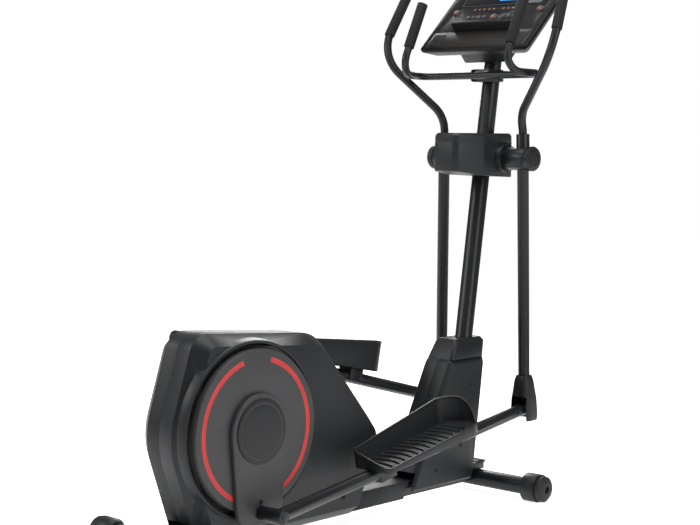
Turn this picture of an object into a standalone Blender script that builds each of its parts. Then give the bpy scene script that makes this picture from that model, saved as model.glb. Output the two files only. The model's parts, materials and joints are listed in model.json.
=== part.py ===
"""Rear-drive elliptical trainer with a console and swinging hand levers.

Metres. +X is the user's right, +Y the way the user faces, +Z up. Heights are above the floor. Shapes are
laid out with Y = 0 at the crank axle; the last step puts the middle of the footprint over the origin.
The right crank pin rests at the bottom of its circle and the left one at the top.
"""

import math

import bmesh
import bpy
from mathutils import Matrix, Vector

# Clearances
GAP = 0.0003  # between pieces that touch
RUN = 0.0010  # beside a piece that turns
BORE = 0.0003  # radial, round a shaft

# Linkage: crank, pedal arm and swing arm form a four-bar loop on each side
CRANK_Z = 0.3558
CRANK_RADIUS = 0.2286
PIVOT_Y = 1.155
PIVOT_Z = 1.105
SWING_LENGTH = 0.825  # cross axle to lower pivot
PEDAL_ARM_LENGTH = 1.195  # crank pin to lower pivot
ARM_X = 0.165  # plane of the swing arms
PIN_X = 0.204  # plane of the pedal arms at the crank

# Stabilizers, rail and mast
REAR_STABILIZER_Y = -0.212
FRONT_STABILIZER_Y = 1.108
STABILIZER_REACH = 0.293  # centre plane to the outer end of the fixed end cap
STABILIZER_Z = 0.043
STABILIZER_RADIUS = 0.028
TUBE_WALL = 0.0025
RAIL_HALF_WIDTH = 0.038
RAIL_LOW = 0.038
RAIL_TOP = 0.082
MAST_RADIUS = 0.0285
MAST_LEAN = math.radians(8.5)
FRONT_CAP_RADIUS = 0.0460
REAR_CAP_RADIUS = 0.040
CAP_BEVEL = 0.013
CAP_CLEARANCE = 0.0008
WHEEL_RADIUS = 0.0415
WHEEL_WIDTH = 0.024
LEVELLER_RADIUS = 0.040
LEVELLER_THROW = 0.003  # how far the levelling cap's axis is off its centre
BOLT_RADIUS = 0.006
BOLT_HEAD_RADIUS = 0.0095
BOLT_HEAD_HEIGHT = 0.0035

# Shroud
SKIN = 0.003
SHROUD_OUTLINE = (
    (-0.172, 0.635), (-0.267, 0.345), (-0.155, 0.033), (0.470, 0.033), (0.503, 0.105),
    (0.572, 0.282), (0.298, 0.599),
)
SHROUD_RADII = (0.055, 0.090, 0.020, 0.020, 0.030, 0.055, 0.120)
SHROUD_RIM_X = 0.050
SHROUD_FACE_X = 0.095
SHROUD_BEVEL = 0.032
SHROUD_HUB_HOLE = 0.035
WELL_CLEARANCE = 0.0135  # round the crank disc
WELL_RIM = 0.013
WELL_RIM_X = 0.103

# Crank
DISC_RADII = {1: 0.2295, -1: 0.1760}  # right and left
DISC_FACE_X = 0.121
DISC_DEPTH = 0.020
DISC_SKIN = 0.004
CRANK_ARM_THICKNESS = 0.010
CRANK_ARM_HALF_WIDTH = 0.022
CRANK_COVER_RADIUS = 0.106
CRANK_COVER_TIP_HALF_WIDTH = 0.083
CRANK_COVER_TIP_REACH = {1: 0.036, -1: 0.024}  # past the pin, right and left
CRANK_COVER_SKIN = 0.0025
CRANK_CAP_RADIUS = 0.0916
CRANK_CAP_HEIGHT = 0.005
AXLE_RADIUS = 0.010

# Drive
PULLEY_RADIUS = 0.150
PULLEY_X = 0.058
PULLEY_WIDTH = 0.020
SMALL_PULLEY_RADIUS = 0.020
BELT_THICKNESS = 0.002
BELT_WIDTH = 0.016
BELT_CLEARANCE = 0.0007
FLYWHEEL_Y = 0.330
FLYWHEEL_Z = 0.300
FLYWHEEL_RADIUS = 0.130
FLYWHEEL_WIDTH = 0.030
SHAFT_RADIUS = 0.008
SHELL_RADIUS = 0.027  # crank shell
SHELL_HALF_WIDTH = 0.038
CARTRIDGE_RADIUS = 0.020
PLATE = 0.006
IDLER_RADIUS = 0.025
IDLER_Y = 0.210  # where the idler touches the belt's lower run
MAGNET_POST_Y = 0.200
MAGNET_GAP = 0.004
MAGNET_THICKNESS = 0.012
MAGNET_PIVOT_Z = 0.190

# Covers of the rail and the mast
RAIL_COVER_SKIN = 0.0025
RAIL_COVER_CLEARANCE = 0.0035
MAST_COVER_HALF_WIDTH = 0.060
MAST_COVER_BEVEL = 0.014
MAST_COVER_OUTLINE = ((0.728, 0.045), (1.056, 0.045), (1.070, 0.120), (1.114, 0.452), (0.935, 0.452))
MAST_COVER_CAP_TOP = 0.516
MAST_COVER_CAP_REAR = 0.968
MAST_COVER_CAP_FRONT = 1.124

# Pivot housing and tray
PIVOT_AXLE_RADIUS = 0.016
HUB_RADIUS = 0.0385
HUB_INNER_X = 0.104
HUB_OUTER_X = 0.188
HOUSING_FLANGE_RADIUS = 0.046
HOUSING_OUTLINE = (
    (0.048, 0.953), (0.080, 1.060), (0.083, 1.200), (0.055, 1.240),
)
HOUSING_LOW = 1.043
HOUSING_TOP = 1.158
TRAY_TOP = 1.187
TRAY_FLOOR = 1.168
PIVOT_CAP_RADIUS = 0.0405
PIVOT_CAP_THICKNESS = 0.022

# Swing arm, handle and grip
ARM_RADIUS = 0.019
COLLAR_RADIUS = 0.0215
COLLAR_TOP = 0.080  # above the cross axle
HANDLE_RADIUS = 0.0135
HANDLE_BENDS = ((0.164, -0.010, 0.142), (0.363, -0.112, 0.342))
HANDLE_TOP = (0.327, 0.033, 0.616)
HANDLE_BEND_RADII = (0.100, 0.135)
GRIP_RADIUS = 0.018
GRIP_LENGTH = 0.233
FORK_HALF_GAP = 0.0200
FORK_PLATE = 0.0045
EYE_RADIUS = 0.021
CLEVIS_BOLT_RADIUS = 0.006
CLEVIS_COVER_SKIN = 0.0025

# Pedal arm and pedal
PEDAL_ARM_RADIUS = 0.020
PEDAL_HUB_RADIUS = 0.0215
PEDAL_HUB_HALF = 0.022
PEDAL_X = 0.205
PEDAL_FROM_PIN = 0.618
PEDAL_LENGTH = 0.458
PEDAL_WIDTH = 0.145
PEDAL_RISE = 0.036  # pedal floor above the arm's axis
PEDAL_TILT = math.radians(3.9)
PEDAL_WALL = 0.005
PEDAL_SKIRT = 0.0145
PEDAL_RIM = 0.0125
PEDAL_INNER_WALL = 0.083
PEDAL_CORNER = 0.020
PEDAL_TOE = 0.066

# Fixed handlebar
BAR_RADIUS = 0.0125
BAR_CORNERS = ((0.258, 1.135, 1.377), (0.210, 0.975, 1.383))
BAR_END = (0.209, 1.084, 1.615)
BAR_RADII = (0.035, 0.050)
BAR_GRIP_RADIUS = 0.0175
BAR_GRIP_LENGTH = 0.160
CLAMP_HALF_WIDTH = 0.034
CLAMP_HALF_HEIGHT = 0.021

# Console, laid out on its sloping face
CONSOLE_Y = 1.085
CONSOLE_Z = 1.463
MAST_TOP = CONSOLE_Z + 0.037  # inside the console's neck
CONSOLE_TILT = math.radians(43.7)
CONSOLE_HALF_WIDTH = 0.222
CONSOLE_LENGTH = 0.335
CONSOLE_DEPTH = 0.045
FACE_THICKNESS = 0.010
LENS_HALF_WIDTH = 0.160
LENS_LOW = 0.222
LENS_HIGH = 0.318
LENS_THICKNESS = 0.0025
KEY_RADIUS = 0.0135
KEY_X = 0.174
KEY_S = 0.190
KEY_PROUD = 0.0015
KEY_CLEARANCE = 0.0006
LEDGE_HALF_WIDTH = 0.125
LEDGE_S = 0.092
LEDGE_PROUD = 0.030
LEDGE_THICKNESS = 0.008
NECK_HALF_WIDTH = 0.098
NECK_BOTTOM = 0.028
NECK_TOP = 0.165
NECK_DEPTH = 0.085

SMOOTH_ANGLE = math.radians(35)

COLOURS = {  # base colour, roughness, metallic
    "frame_paint": ((0.020, 0.021, 0.023), 0.42, 0.0),
    "moulded_black": ((0.024, 0.025, 0.027), 0.50, 0.0),
    "disc_grey": ((0.075, 0.077, 0.082), 0.45, 0.0),
    "foam": ((0.022, 0.022, 0.023), 0.85, 0.0),
    "steel": ((0.55, 0.55, 0.56), 0.30, 1.0),
    "cast_iron": ((0.10, 0.10, 0.11), 0.55, 1.0),
    "belt_rubber": ((0.015, 0.015, 0.015), 0.80, 0.0),
    "wheel_rubber": ((0.030, 0.030, 0.032), 0.60, 0.0),
    "dark_glass": ((0.004, 0.005, 0.007), 0.08, 0.0),
    "key_plastic": ((0.35, 0.12, 0.05), 0.40, 0.0),
}


# ---------------------------------------------------------------- scene and shape helpers


def clear_scene():
    for obj in list(bpy.data.objects):
        bpy.data.objects.remove(obj, do_unlink=True)


def make_material(name, finish):
    colour, roughness, metallic = COLOURS[finish]
    material = bpy.data.materials.new(name)
    material.use_nodes = True
    shader = material.node_tree.nodes["Principled BSDF"]
    shader.inputs["Base Color"].default_value = (*colour, 1.0)
    shader.inputs["Roughness"].default_value = roughness
    shader.inputs["Metallic"].default_value = metallic
    return material


def empty(name, parent, location, tilt=0.0):
    obj = bpy.data.objects.new(name, None)
    bpy.context.scene.collection.objects.link(obj)
    obj.parent = parent
    obj.location = location
    obj.rotation_euler.x = tilt
    return obj


def mesh_object(name, rings, parent, ends="capped"):
    """One closed body through the rings. Its ends are capped, or the last ring joins the first."""
    bm = bmesh.new()
    loops = [[bm.verts.new(point) for point in ring] for ring in rings]
    pairs = list(zip(loops, loops[1:]))
    if ends == "joined":
        pairs.append((loops[-1], loops[0]))
    for low, high in pairs:
        for i in range(len(low)):
            j = (i + 1) % len(low)
            bm.faces.new((low[i], low[j], high[j], high[i]))
    if ends == "capped":
        bm.faces.new(loops[0][::-1])
        bm.faces.new(loops[-1])
    bmesh.ops.recalc_face_normals(bm, faces=bm.faces)
    if bm.calc_volume(signed=True) < 0:
        bmesh.ops.reverse_faces(bm, faces=bm.faces)
    mesh = bpy.data.meshes.new(name)
    bm.to_mesh(mesh)
    bm.free()
    mesh.shade_smooth()
    mesh.set_sharp_from_angle(angle=SMOOTH_ANGLE)
    obj = bpy.data.objects.new(name, mesh)
    bpy.context.scene.collection.objects.link(obj)
    obj.parent = parent
    return obj


def paint(obj, finish):
    obj.data.materials.append(make_material(obj.name, finish))
    return obj


def apply_boolean(obj, tools, operation):
    """Adds each tool to the object, or cuts it away, and keeps the tool as a hidden helper."""
    for tool in tools:
        tool.hide_render = True
        tool.display_type = "WIRE"
        tool.hide_set(True)
        modifier = obj.modifiers.new(tool.name, "BOOLEAN")
        modifier.operation = operation
        modifier.object = tool
        modifier.solver = "EXACT"
    return obj


def join(obj, *tools):
    return apply_boolean(obj, tools, "UNION")


def cut(obj, *tools):
    return apply_boolean(obj, tools, "DIFFERENCE")


def corner_arc(before, corner, after, radius, steps):
    """Points of the arc that rounds a corner."""
    back = (before - corner).normalized()
    ahead = (after - corner).normalized()
    half = back.angle(ahead) / 2
    reach = radius / math.tan(half)
    centre = corner + (back + ahead).normalized() * radius / math.sin(half)
    first = (corner + back * reach - centre).normalized()
    last = (corner + ahead * reach - centre).normalized()
    return [centre + first.slerp(last, i / steps) * radius for i in range(steps + 1)]


def bent_path(points, radii, steps):
    """An open path with its inner corners rounded."""
    points = [Vector(point) for point in points]
    path = [points[0]]
    for before, corner, after, radius in zip(points, points[1:], points[2:], radii):
        path += corner_arc(before, corner, after, radius, steps)
    return path + [points[-1]]


def rounded(polygon, radii, steps=2):
    """A closed plane outline with its corners rounded."""
    points = [Vector((a, b, 0)) for a, b in polygon]
    outline = []
    for i, corner in enumerate(points):
        outline += corner_arc(points[i - 1], corner, points[(i + 1) % len(points)], radii[i], steps)
    return [(point.x, point.y) for point in outline]


def inset(polygon, distance):
    """The polygon with every side moved inwards."""
    points = [Vector(point) for point in polygon]
    area = sum(a.cross(b) for a, b in zip(points, points[1:] + points[:1]))
    inward = math.copysign(1, area)
    moved = []
    for i, corner in enumerate(points):
        back = (corner - points[i - 1]).normalized()
        ahead = (points[(i + 1) % len(points)] - corner).normalized()
        bisector = (ahead - back).normalized()
        sine = abs(back.cross(bisector))
        turn = math.copysign(1, back.cross(ahead)) * inward
        moved.append(corner + bisector * turn * distance / sine)
    return [tuple(point) for point in moved]


def smaller(radii, distance):
    return [max(radius - distance, 0.3 * radius) for radius in radii]


def box_outline(low_a, high_a, low_b, high_b):
    return [(low_a, low_b), (high_a, low_b), (high_a, high_b), (low_a, high_b)]


def x_ring(x, outline):
    return [(x, y, z) for y, z in outline]


def z_ring(z, outline):
    return [(x, y, z) for x, y in outline]


def circle(radius, sides, phase=0.0):
    turns = [math.tau * (i + phase) / sides for i in range(sides)]
    return [(radius * math.cos(turn), radius * math.sin(turn)) for turn in turns]


def lathe_rings(profile, sides, side=1, centre=(0.0, 0.0), floor=None):
    """Rings about an axis along X. A profile point is (x, radius) or (x, radius, rise)."""
    rings = []
    for x, radius, *rise in profile:
        ring = []
        for a, b in circle(radius, sides):
            height = b + sum(rise)
            if floor is not None:
                height = max(height, floor)
            ring.append((side * x, centre[0] + a, centre[1] + height))
        rings.append(ring)
    return rings


def lathe(name, profile, parent, sides=20, ends="capped", **placing):
    return mesh_object(name, lathe_rings(profile, sides, **placing), parent, ends)


def rod(name, x_low, x_high, radius, parent, centre=(0.0, 0.0), sides=12):
    """A solid cylinder along X."""
    return lathe(name, ((x_low, radius), (x_high, radius)), parent, sides, centre=centre)


def upright(name, profile, x, parent, sides=12):
    """A turned shape about a vertical line. A profile point is (z, radius)."""
    rings = [[(x + a, b, z) for a, b in circle(radius, sides, 0.5)] for z, radius in profile]
    return mesh_object(name, rings, parent)


def swept_rings(path, radius, sides):
    """Round rings along a path, carried without twist."""
    path = [Vector(point) for point in path]
    tangents = [(b - a).normalized() for a, b in zip(path, path[1:])]
    tangents.append(tangents[-1])
    across = Vector((0, 0, 1)) if abs(tangents[0].x) > 0.9 else Vector((1, 0, 0))
    rings = []
    for i, point in enumerate(path):
        tangent = (tangents[max(i - 1, 0)] + tangents[i]).normalized()
        across = (across - tangent * across.dot(tangent)).normalized()
        other = tangent.cross(across)
        rings.append([point + across * a + other * b for a, b in circle(radius, sides, 0.5)])
    return rings


def pipe(name, path, radius, wall, parent, sides=12):
    """A hollow tube along a path, open at both ends."""
    outer = swept_rings(path, radius, sides)
    inner = swept_rings(path, radius - wall, sides)
    return mesh_object(name, outer + inner[::-1], parent, "joined")


def bar(name, path, radius, parent, sides=12):
    return mesh_object(name, swept_rings(path, radius, sides), parent)


def sleeve(name, path, radius, bore, end_wall, parent, sides=12):
    """A tube along a path, closed at its far end."""
    path = [Vector(point) for point in path]
    stop = path[-1] - (path[-1] - path[-2]).normalized() * end_wall
    inner = swept_rings(path[:-1] + [stop], bore / math.cos(math.pi / sides), sides)
    outer = swept_rings(path, radius, sides)
    return mesh_object(name, inner[::-1] + outer, parent)


def last_stretch(path, length):
    """The end of a path, with the given length."""
    path = [Vector(point) for point in path]
    kept = [path[-1]]
    for point in path[-2::-1]:
        step = kept[0] - point
        if step.length >= length:
            kept.insert(0, kept[0] - step.normalized() * length)
            return kept
        length -= step.length
        kept.insert(0, point)
    return kept


def first_stretch(path, length):
    return last_stretch(path[::-1], length)[::-1]


def path_length(path):
    return sum((Vector(b) - Vector(a)).length for a, b in zip(path, path[1:]))


def block(name, low, high, parent):
    outline = box_outline(low[1], high[1], low[2], high[2])
    return mesh_object(name, [x_ring(low[0], outline), x_ring(high[0], outline)], parent)


def plate(name, outline, x_low, x_high, parent):
    """An outline in Y and Z, extruded along X."""
    return mesh_object(name, [x_ring(x_low, outline), x_ring(x_high, outline)], parent)


def sided(side, *points):
    """The same points for the right side (1) or mirrored for the left (-1)."""
    return [(side * x, y, z) for x, y, z in points]


def side_name(base, side):
    return f"{base}_{'right' if side > 0 else 'left'}"


# ---------------------------------------------------------------- linkage geometry


def lower_pivot(pin_z):
    """Where the pedal arm and the swing arm meet, for a crank pin straight above or below the axle."""
    pin = Vector((0.0, pin_z))
    pivot = Vector((PIVOT_Y, PIVOT_Z))
    span = pivot - pin
    along = (PEDAL_ARM_LENGTH**2 - SWING_LENGTH**2 + span.length**2) / (2 * span.length)
    off = math.sqrt(PEDAL_ARM_LENGTH**2 - along**2)
    direction = span.normalized()
    return pin + direction * along + Vector((direction.y, -direction.x)) * off


def swing_rest(side):
    """The swing arm's angle, positive with its lower end forward."""
    joint = lower_pivot(CRANK_Z - side * CRANK_RADIUS)
    return math.atan2(joint.x - PIVOT_Y, PIVOT_Z - joint.y)


def pedal_arm_rest(side):
    """The pedal arm's pitch, positive with its front end high."""
    pin_z = CRANK_Z - side * CRANK_RADIUS
    joint = lower_pivot(pin_z)
    return math.atan2(joint.y - pin_z, joint.x)


def mast_y(z):
    return PIVOT_Y + (z - PIVOT_Z) * math.tan(MAST_LEAN)


# ---------------------------------------------------------------- frame


def stabilizer(name, y, parent):
    end = STABILIZER_REACH - 0.007
    path = ((-end, y, STABILIZER_Z), (end, y, STABILIZER_Z))
    paint(pipe(name, path, STABILIZER_RADIUS, TUBE_WALL, parent, 16), "frame_paint")


def bolt_head_x():
    """Where the shank of an end cap's bolt meets its head."""
    return STABILIZER_REACH + WHEEL_WIDTH - 0.0095


def end_cap(name, side, y, radius, parent):
    """A sleeve over the tube's end, with the bolt that carries the wheel or the levelling cap."""
    start = STABILIZER_REACH - 0.064
    bore = STABILIZER_RADIUS + CAP_CLEARANCE
    head = bolt_head_x()
    profile = (
        (STABILIZER_REACH - 0.007 + GAP, bore),
        (start, bore),
        (start, STABILIZER_RADIUS + 0.003),
        (start + CAP_BEVEL, radius),
        (STABILIZER_REACH, radius),
        (STABILIZER_REACH, BOLT_RADIUS),
        (head, BOLT_RADIUS),
        (head, BOLT_HEAD_RADIUS),
        (head + BOLT_HEAD_HEIGHT, BOLT_HEAD_RADIUS),
    )
    placing = {"side": side, "centre": (y, STABILIZER_Z), "floor": -STABILIZER_Z}
    paint(lathe(name, profile, parent, **placing), "moulded_black")


def wheel_profile(radius, drop=0.0):
    """Half section of a wheel on the end cap's bolt, with a recess for the bolt's head."""
    inner = STABILIZER_REACH + RUN
    outer = STABILIZER_REACH + WHEEL_WIDTH + RUN
    recess = bolt_head_x() - RUN / 2
    bore = BOLT_RADIUS + BORE + 0.0002
    return (
        (inner, bore),
        (inner, radius, -drop),
        (outer - 0.009, radius, -drop),
        (outer - 0.002, radius - 0.008, -drop),
        (outer, BOLT_HEAD_RADIUS + 0.006),
        (outer, BOLT_HEAD_RADIUS + 0.002),
        (recess, BOLT_HEAD_RADIUS + 0.002),
        (recess, bore),
    )


def end_wheel(name, side, y, radius, drop, assembly):
    axis = empty(name + "_axis", assembly, (0, y, STABILIZER_Z))
    profile = wheel_profile(radius, drop)
    paint(lathe(name, profile, axis, ends="joined", side=side), "wheel_rubber")


def main_rail(parent):
    low = REAR_STABILIZER_Y + STABILIZER_RADIUS + GAP
    high = FRONT_STABILIZER_Y - STABILIZER_RADIUS - GAP
    outer = box_outline(-RAIL_HALF_WIDTH, RAIL_HALF_WIDTH, RAIL_LOW, RAIL_TOP)
    inner = inset(outer, TUBE_WALL)
    rings = [
        [(x, low, z) for x, z in outer],
        [(x, high, z) for x, z in outer],
        [(x, high, z) for x, z in inner],
        [(x, low, z) for x, z in inner],
    ]
    rail = mesh_object("main_rail", rings, parent, "joined")
    saddle_low = STABILIZER_Z + STABILIZER_RADIUS + GAP
    saddles = []
    for label, y, reach in (("rear", REAR_STABILIZER_Y, 1), ("front", FRONT_STABILIZER_Y, -1)):
        near, far = sorted((y - reach * 0.020, y + reach * 0.063))
        saddles.append(
            block("saddle_" + label, (-0.046, near, saddle_low), (0.046, far, saddle_low + 0.023), parent)
        )
    # The front lip, a step above the saddle's front half
    lip_low = saddle_low + 0.018
    lip = block(
        "saddle_lip",
        (-0.040, FRONT_STABILIZER_Y - 0.010, lip_low),
        (0.040, FRONT_STABILIZER_Y + 0.036, lip_low + 0.008),
        parent,
    )
    paint(join(rail, *saddles, lip), "frame_paint")


def mast(parent):
    plate_low = RAIL_TOP + GAP
    foot = plate_low + 0.006
    path = ((0, mast_y(foot), foot), (0, mast_y(MAST_TOP), MAST_TOP))
    tube = pipe("mast", path, MAST_RADIUS, TUBE_WALL, parent, 16)
    middle = mast_y(foot)
    base = block(
        "mast_base", (-0.045, middle - 0.075, plate_low), (0.045, middle + 0.034, plate_low + 0.011), parent
    )
    axle_hole = rod(
        "mast_axle_hole", -0.05, 0.05, PIVOT_AXLE_RADIUS + BORE, parent, (PIVOT_Y, PIVOT_Z), 20
    )
    join(tube, base)
    paint(cut(tube, axle_hole), "frame_paint")


def pivot_axle(parent):
    profile = (
        (-HUB_OUTER_X, PIVOT_AXLE_RADIUS),
        (HUB_OUTER_X, PIVOT_AXLE_RADIUS),
        (HUB_OUTER_X, PIVOT_AXLE_RADIUS - 0.004),
        (-HUB_OUTER_X, PIVOT_AXLE_RADIUS - 0.004),
    )
    placing = {"centre": (PIVOT_Y, PIVOT_Z), "ends": "joined"}
    paint(lathe("pivot_axle", profile, parent, **placing), "steel")


# ---------------------------------------------------------------- covers


def shroud_half(side, parent):
    """A thin shell, open at the middle seam, with a raised rim round the crank disc."""

    def rings(offset):
        rim = rounded(inset(SHROUD_OUTLINE, offset), smaller(SHROUD_RADII, offset))
        face_inset = SHROUD_BEVEL + offset
        face = rounded(inset(SHROUD_OUTLINE, face_inset), smaller(SHROUD_RADII, face_inset))
        seam_x = side * GAP / 2
        return [
            x_ring(seam_x, rim),
            x_ring(side * (SHROUD_RIM_X - offset / 2), rim),
            x_ring(side * (SHROUD_FACE_X - offset), face),
        ]

    outer = rings(1e-6)
    inner = rings(SKIN)
    shell = mesh_object(side_name("shroud", side), inner[::-1] + outer, parent)
    well = DISC_RADII[side] + WELL_CLEARANCE
    rim_profile = (
        (SHROUD_FACE_X - 0.020, well),
        (SHROUD_FACE_X - 0.020, well + WELL_RIM),
        (WELL_RIM_X, well + WELL_RIM - 0.005),
        (WELL_RIM_X, well),
    )
    placing = {"side": side, "centre": (0.0, CRANK_Z), "ends": "joined"}
    rim = lathe(side_name("well_rim", side), rim_profile, parent, 36, **placing)
    reach = SHROUD_FACE_X + 0.02
    hub_hole = rod(
        side_name("shroud_hub_hole", side), side * 0.08, side * reach, SHROUD_HUB_HOLE, parent, (0.0, CRANK_Z)
    )
    rail_notch = block(
        side_name("shroud_rail_notch", side),
        (-RAIL_HALF_WIDTH - 0.012, -0.40, -0.01),
        (RAIL_HALF_WIDTH + 0.012, 0.70, RAIL_TOP + 0.026),
        parent,
    )
    join(shell, rim)
    paint(cut(shell, hub_hole, rail_notch), "moulded_black")


def rail_cover(parent):
    """An inverted channel whose slanting ends follow the shroud and the mast cover."""
    toe_low, toe_high = SHROUD_OUTLINE[3], SHROUD_OUTLINE[4]
    heel_low, heel_high = MAST_COVER_OUTLINE[0], MAST_COVER_OUTLINE[4]
    low = toe_low[1]
    high = RAIL_TOP + RAIL_COVER_CLEARANCE + RAIL_COVER_SKIN

    def on_line(first, second, z):
        return first[0] + (second[0] - first[0]) * (z - first[1]) / (second[1] - first[1])

    spare = 0.004
    outline = [
        (on_line(toe_low, toe_high, low) + spare, low),
        (on_line(heel_low, heel_high, low) - spare, low),
        (on_line(heel_low, heel_high, high) - spare, high),
        (on_line(toe_low, toe_high, high) + spare, high),
    ]
    half = RAIL_HALF_WIDTH + RAIL_COVER_CLEARANCE + RAIL_COVER_SKIN
    cover = plate("rail_cover", outline, -half, half, parent)
    inner = half - RAIL_COVER_SKIN
    channel = block(
        "rail_cover_channel", (-inner, 0.3, 0.0), (inner, 0.9, RAIL_TOP + RAIL_COVER_CLEARANCE), parent
    )
    paint(cut(cover, channel), "moulded_black")


def mast_cover_rings(outline, side, half_width, bevel, offset):
    rim = rounded(inset(outline, offset), [0.012] * len(outline), 2)
    face = rounded(inset(outline, bevel + offset), [0.008] * len(outline), 2)
    return [
        x_ring(side * GAP / 2, rim),
        x_ring(side * (half_width - bevel - offset / 2), rim),
        x_ring(side * (half_width - offset), face),
    ]


def mast_cover_half(side, parent):
    outer = mast_cover_rings(MAST_COVER_OUTLINE, side, MAST_COVER_HALF_WIDTH, MAST_COVER_BEVEL, 1e-6)
    inner = mast_cover_rings(MAST_COVER_OUTLINE, side, MAST_COVER_HALF_WIDTH, MAST_COVER_BEVEL, SKIN)
    shell = mesh_object(side_name("mast_cover", side), inner[::-1] + outer, parent)
    saddle_top = STABILIZER_Z + STABILIZER_RADIUS + 0.034
    notch = block(
        side_name("mast_cover_notch", side), (-0.0515, 0.60, 0.0), (0.0515, 1.20, saddle_top + 0.004), parent
    )
    middle = Vector((0, mast_y(MAST_COVER_CAP_TOP), MAST_COVER_CAP_TOP))
    lean = Vector((0, math.sin(MAST_LEAN), math.cos(MAST_LEAN)))
    hole = bar(
        side_name("mast_cover_hole", side), (middle - lean * 0.15, middle), MAST_RADIUS + 0.012, parent, 24
    )
    paint(cut(shell, notch, hole), "moulded_black")


def mast_cover_cap(parent):
    """The cap closes the top of both halves and tapers to the mast."""
    low = MAST_COVER_OUTLINE[4][1] + GAP
    rear, front = MAST_COVER_OUTLINE[4][0], MAST_COVER_OUTLINE[3][0]
    half = MAST_COVER_HALF_WIDTH

    def rings(offset, drop):
        base = box_outline(-half + offset, half - offset, rear + offset, front - offset)
        top = box_outline(
            -half + 0.008 + offset,
            half - 0.008 - offset,
            MAST_COVER_CAP_REAR + offset,
            MAST_COVER_CAP_FRONT - offset,
        )
        radii = [0.014] * 4
        shoulder = MAST_COVER_CAP_TOP - 0.012
        level = [
            z_ring(low, rounded(base, radii)),
            z_ring(shoulder - drop, rounded(top, radii)),
            z_ring(MAST_COVER_CAP_TOP - drop, rounded(inset(top, 0.010), [0.008] * 4)),
        ]
        return level

    outer = rings(0.0, 0.0)
    inner = rings(SKIN, SKIN)
    shell = mesh_object("mast_cover_cap", inner[::-1] + outer, parent)
    middle = Vector((0, mast_y(low), low))
    lean = Vector((0, math.sin(MAST_LEAN), math.cos(MAST_LEAN)))
    hole = bar(
        "mast_cap_hole", (middle - lean * 0.02, middle + lean * 0.12), MAST_RADIUS + RUN, parent, 24
    )
    paint(cut(shell, hole), "moulded_black")


def housing_outline(offset):
    right = list(HOUSING_OUTLINE)
    whole = right + [(-x, y) for x, y in reversed(right)]
    radii = smaller([0.016, 0.040, 0.030, 0.020, 0.020, 0.030, 0.040, 0.016], offset)
    return rounded(inset(whole, offset), radii)


def pivot_housing(parent):
    """An open-topped shell round the mast and the cross axle."""

    def low_ring(offset, rise):
        ring = []
        for x, y in housing_outline(offset):
            climb = 0.021 * max(0.0, (PIVOT_Y - 0.04 - y) / 0.16)
            ring.append((x, y, HOUSING_LOW + climb + rise))
        return ring

    rings = [
        low_ring(SKIN, SKIN),
        z_ring(HOUSING_TOP, housing_outline(SKIN)),
        z_ring(HOUSING_TOP, housing_outline(0.0)),
        low_ring(0.0, 0.0),
    ]
    shell = mesh_object("pivot_housing", rings, parent)
    bosses = []
    for side in (1, -1):
        profile = ((0.074, HOUSING_FLANGE_RADIUS), (HUB_INNER_X - RUN, HOUSING_FLANGE_RADIUS))
        name = side_name("housing_boss", side)
        bosses.append(lathe(name, profile, parent, side=side, centre=(PIVOT_Y, PIVOT_Z)))
    axle_hole = rod(
        "housing_axle_hole", -0.15, 0.15, PIVOT_AXLE_RADIUS + BORE, parent, (PIVOT_Y, PIVOT_Z), 20
    )
    join(shell, *bosses)
    paint(cut(shell, axle_hole, mast_hole("housing_mast_hole", parent)), "moulded_black")


def mast_hole(name, parent):
    """A cutter that clears the mast through the pivot housing and the tray."""
    path = ((0, mast_y(1.0), 1.0), (0, mast_y(1.25), 1.25))
    return bar(name, path, MAST_RADIUS + RUN, parent, 24)


def accessory_tray(parent):
    """A lid with a pocket on the user's side of the mast."""
    low = HOUSING_TOP + GAP
    rings = [
        z_ring(low, housing_outline(0.0)),
        z_ring(TRAY_TOP - 0.008, housing_outline(0.001)),
        z_ring(TRAY_TOP, housing_outline(0.008)),
    ]
    lid = mesh_object("accessory_tray", rings, parent)
    right = [(0.048, 0.953), (0.074, 1.040), (0.074, 1.118)]
    whole = right + [(-x, y) for x, y in reversed(right)]
    pocket_outline = rounded(inset(whole, 0.013), [0.012] * 6, 3)
    pocket = mesh_object(
        "tray_pocket", [z_ring(TRAY_FLOOR, pocket_outline), z_ring(TRAY_TOP + 0.02, pocket_outline)], parent
    )
    paint(cut(lid, pocket, mast_hole("tray_mast_hole", parent)), "moulded_black")


# ---------------------------------------------------------------- drive


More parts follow.
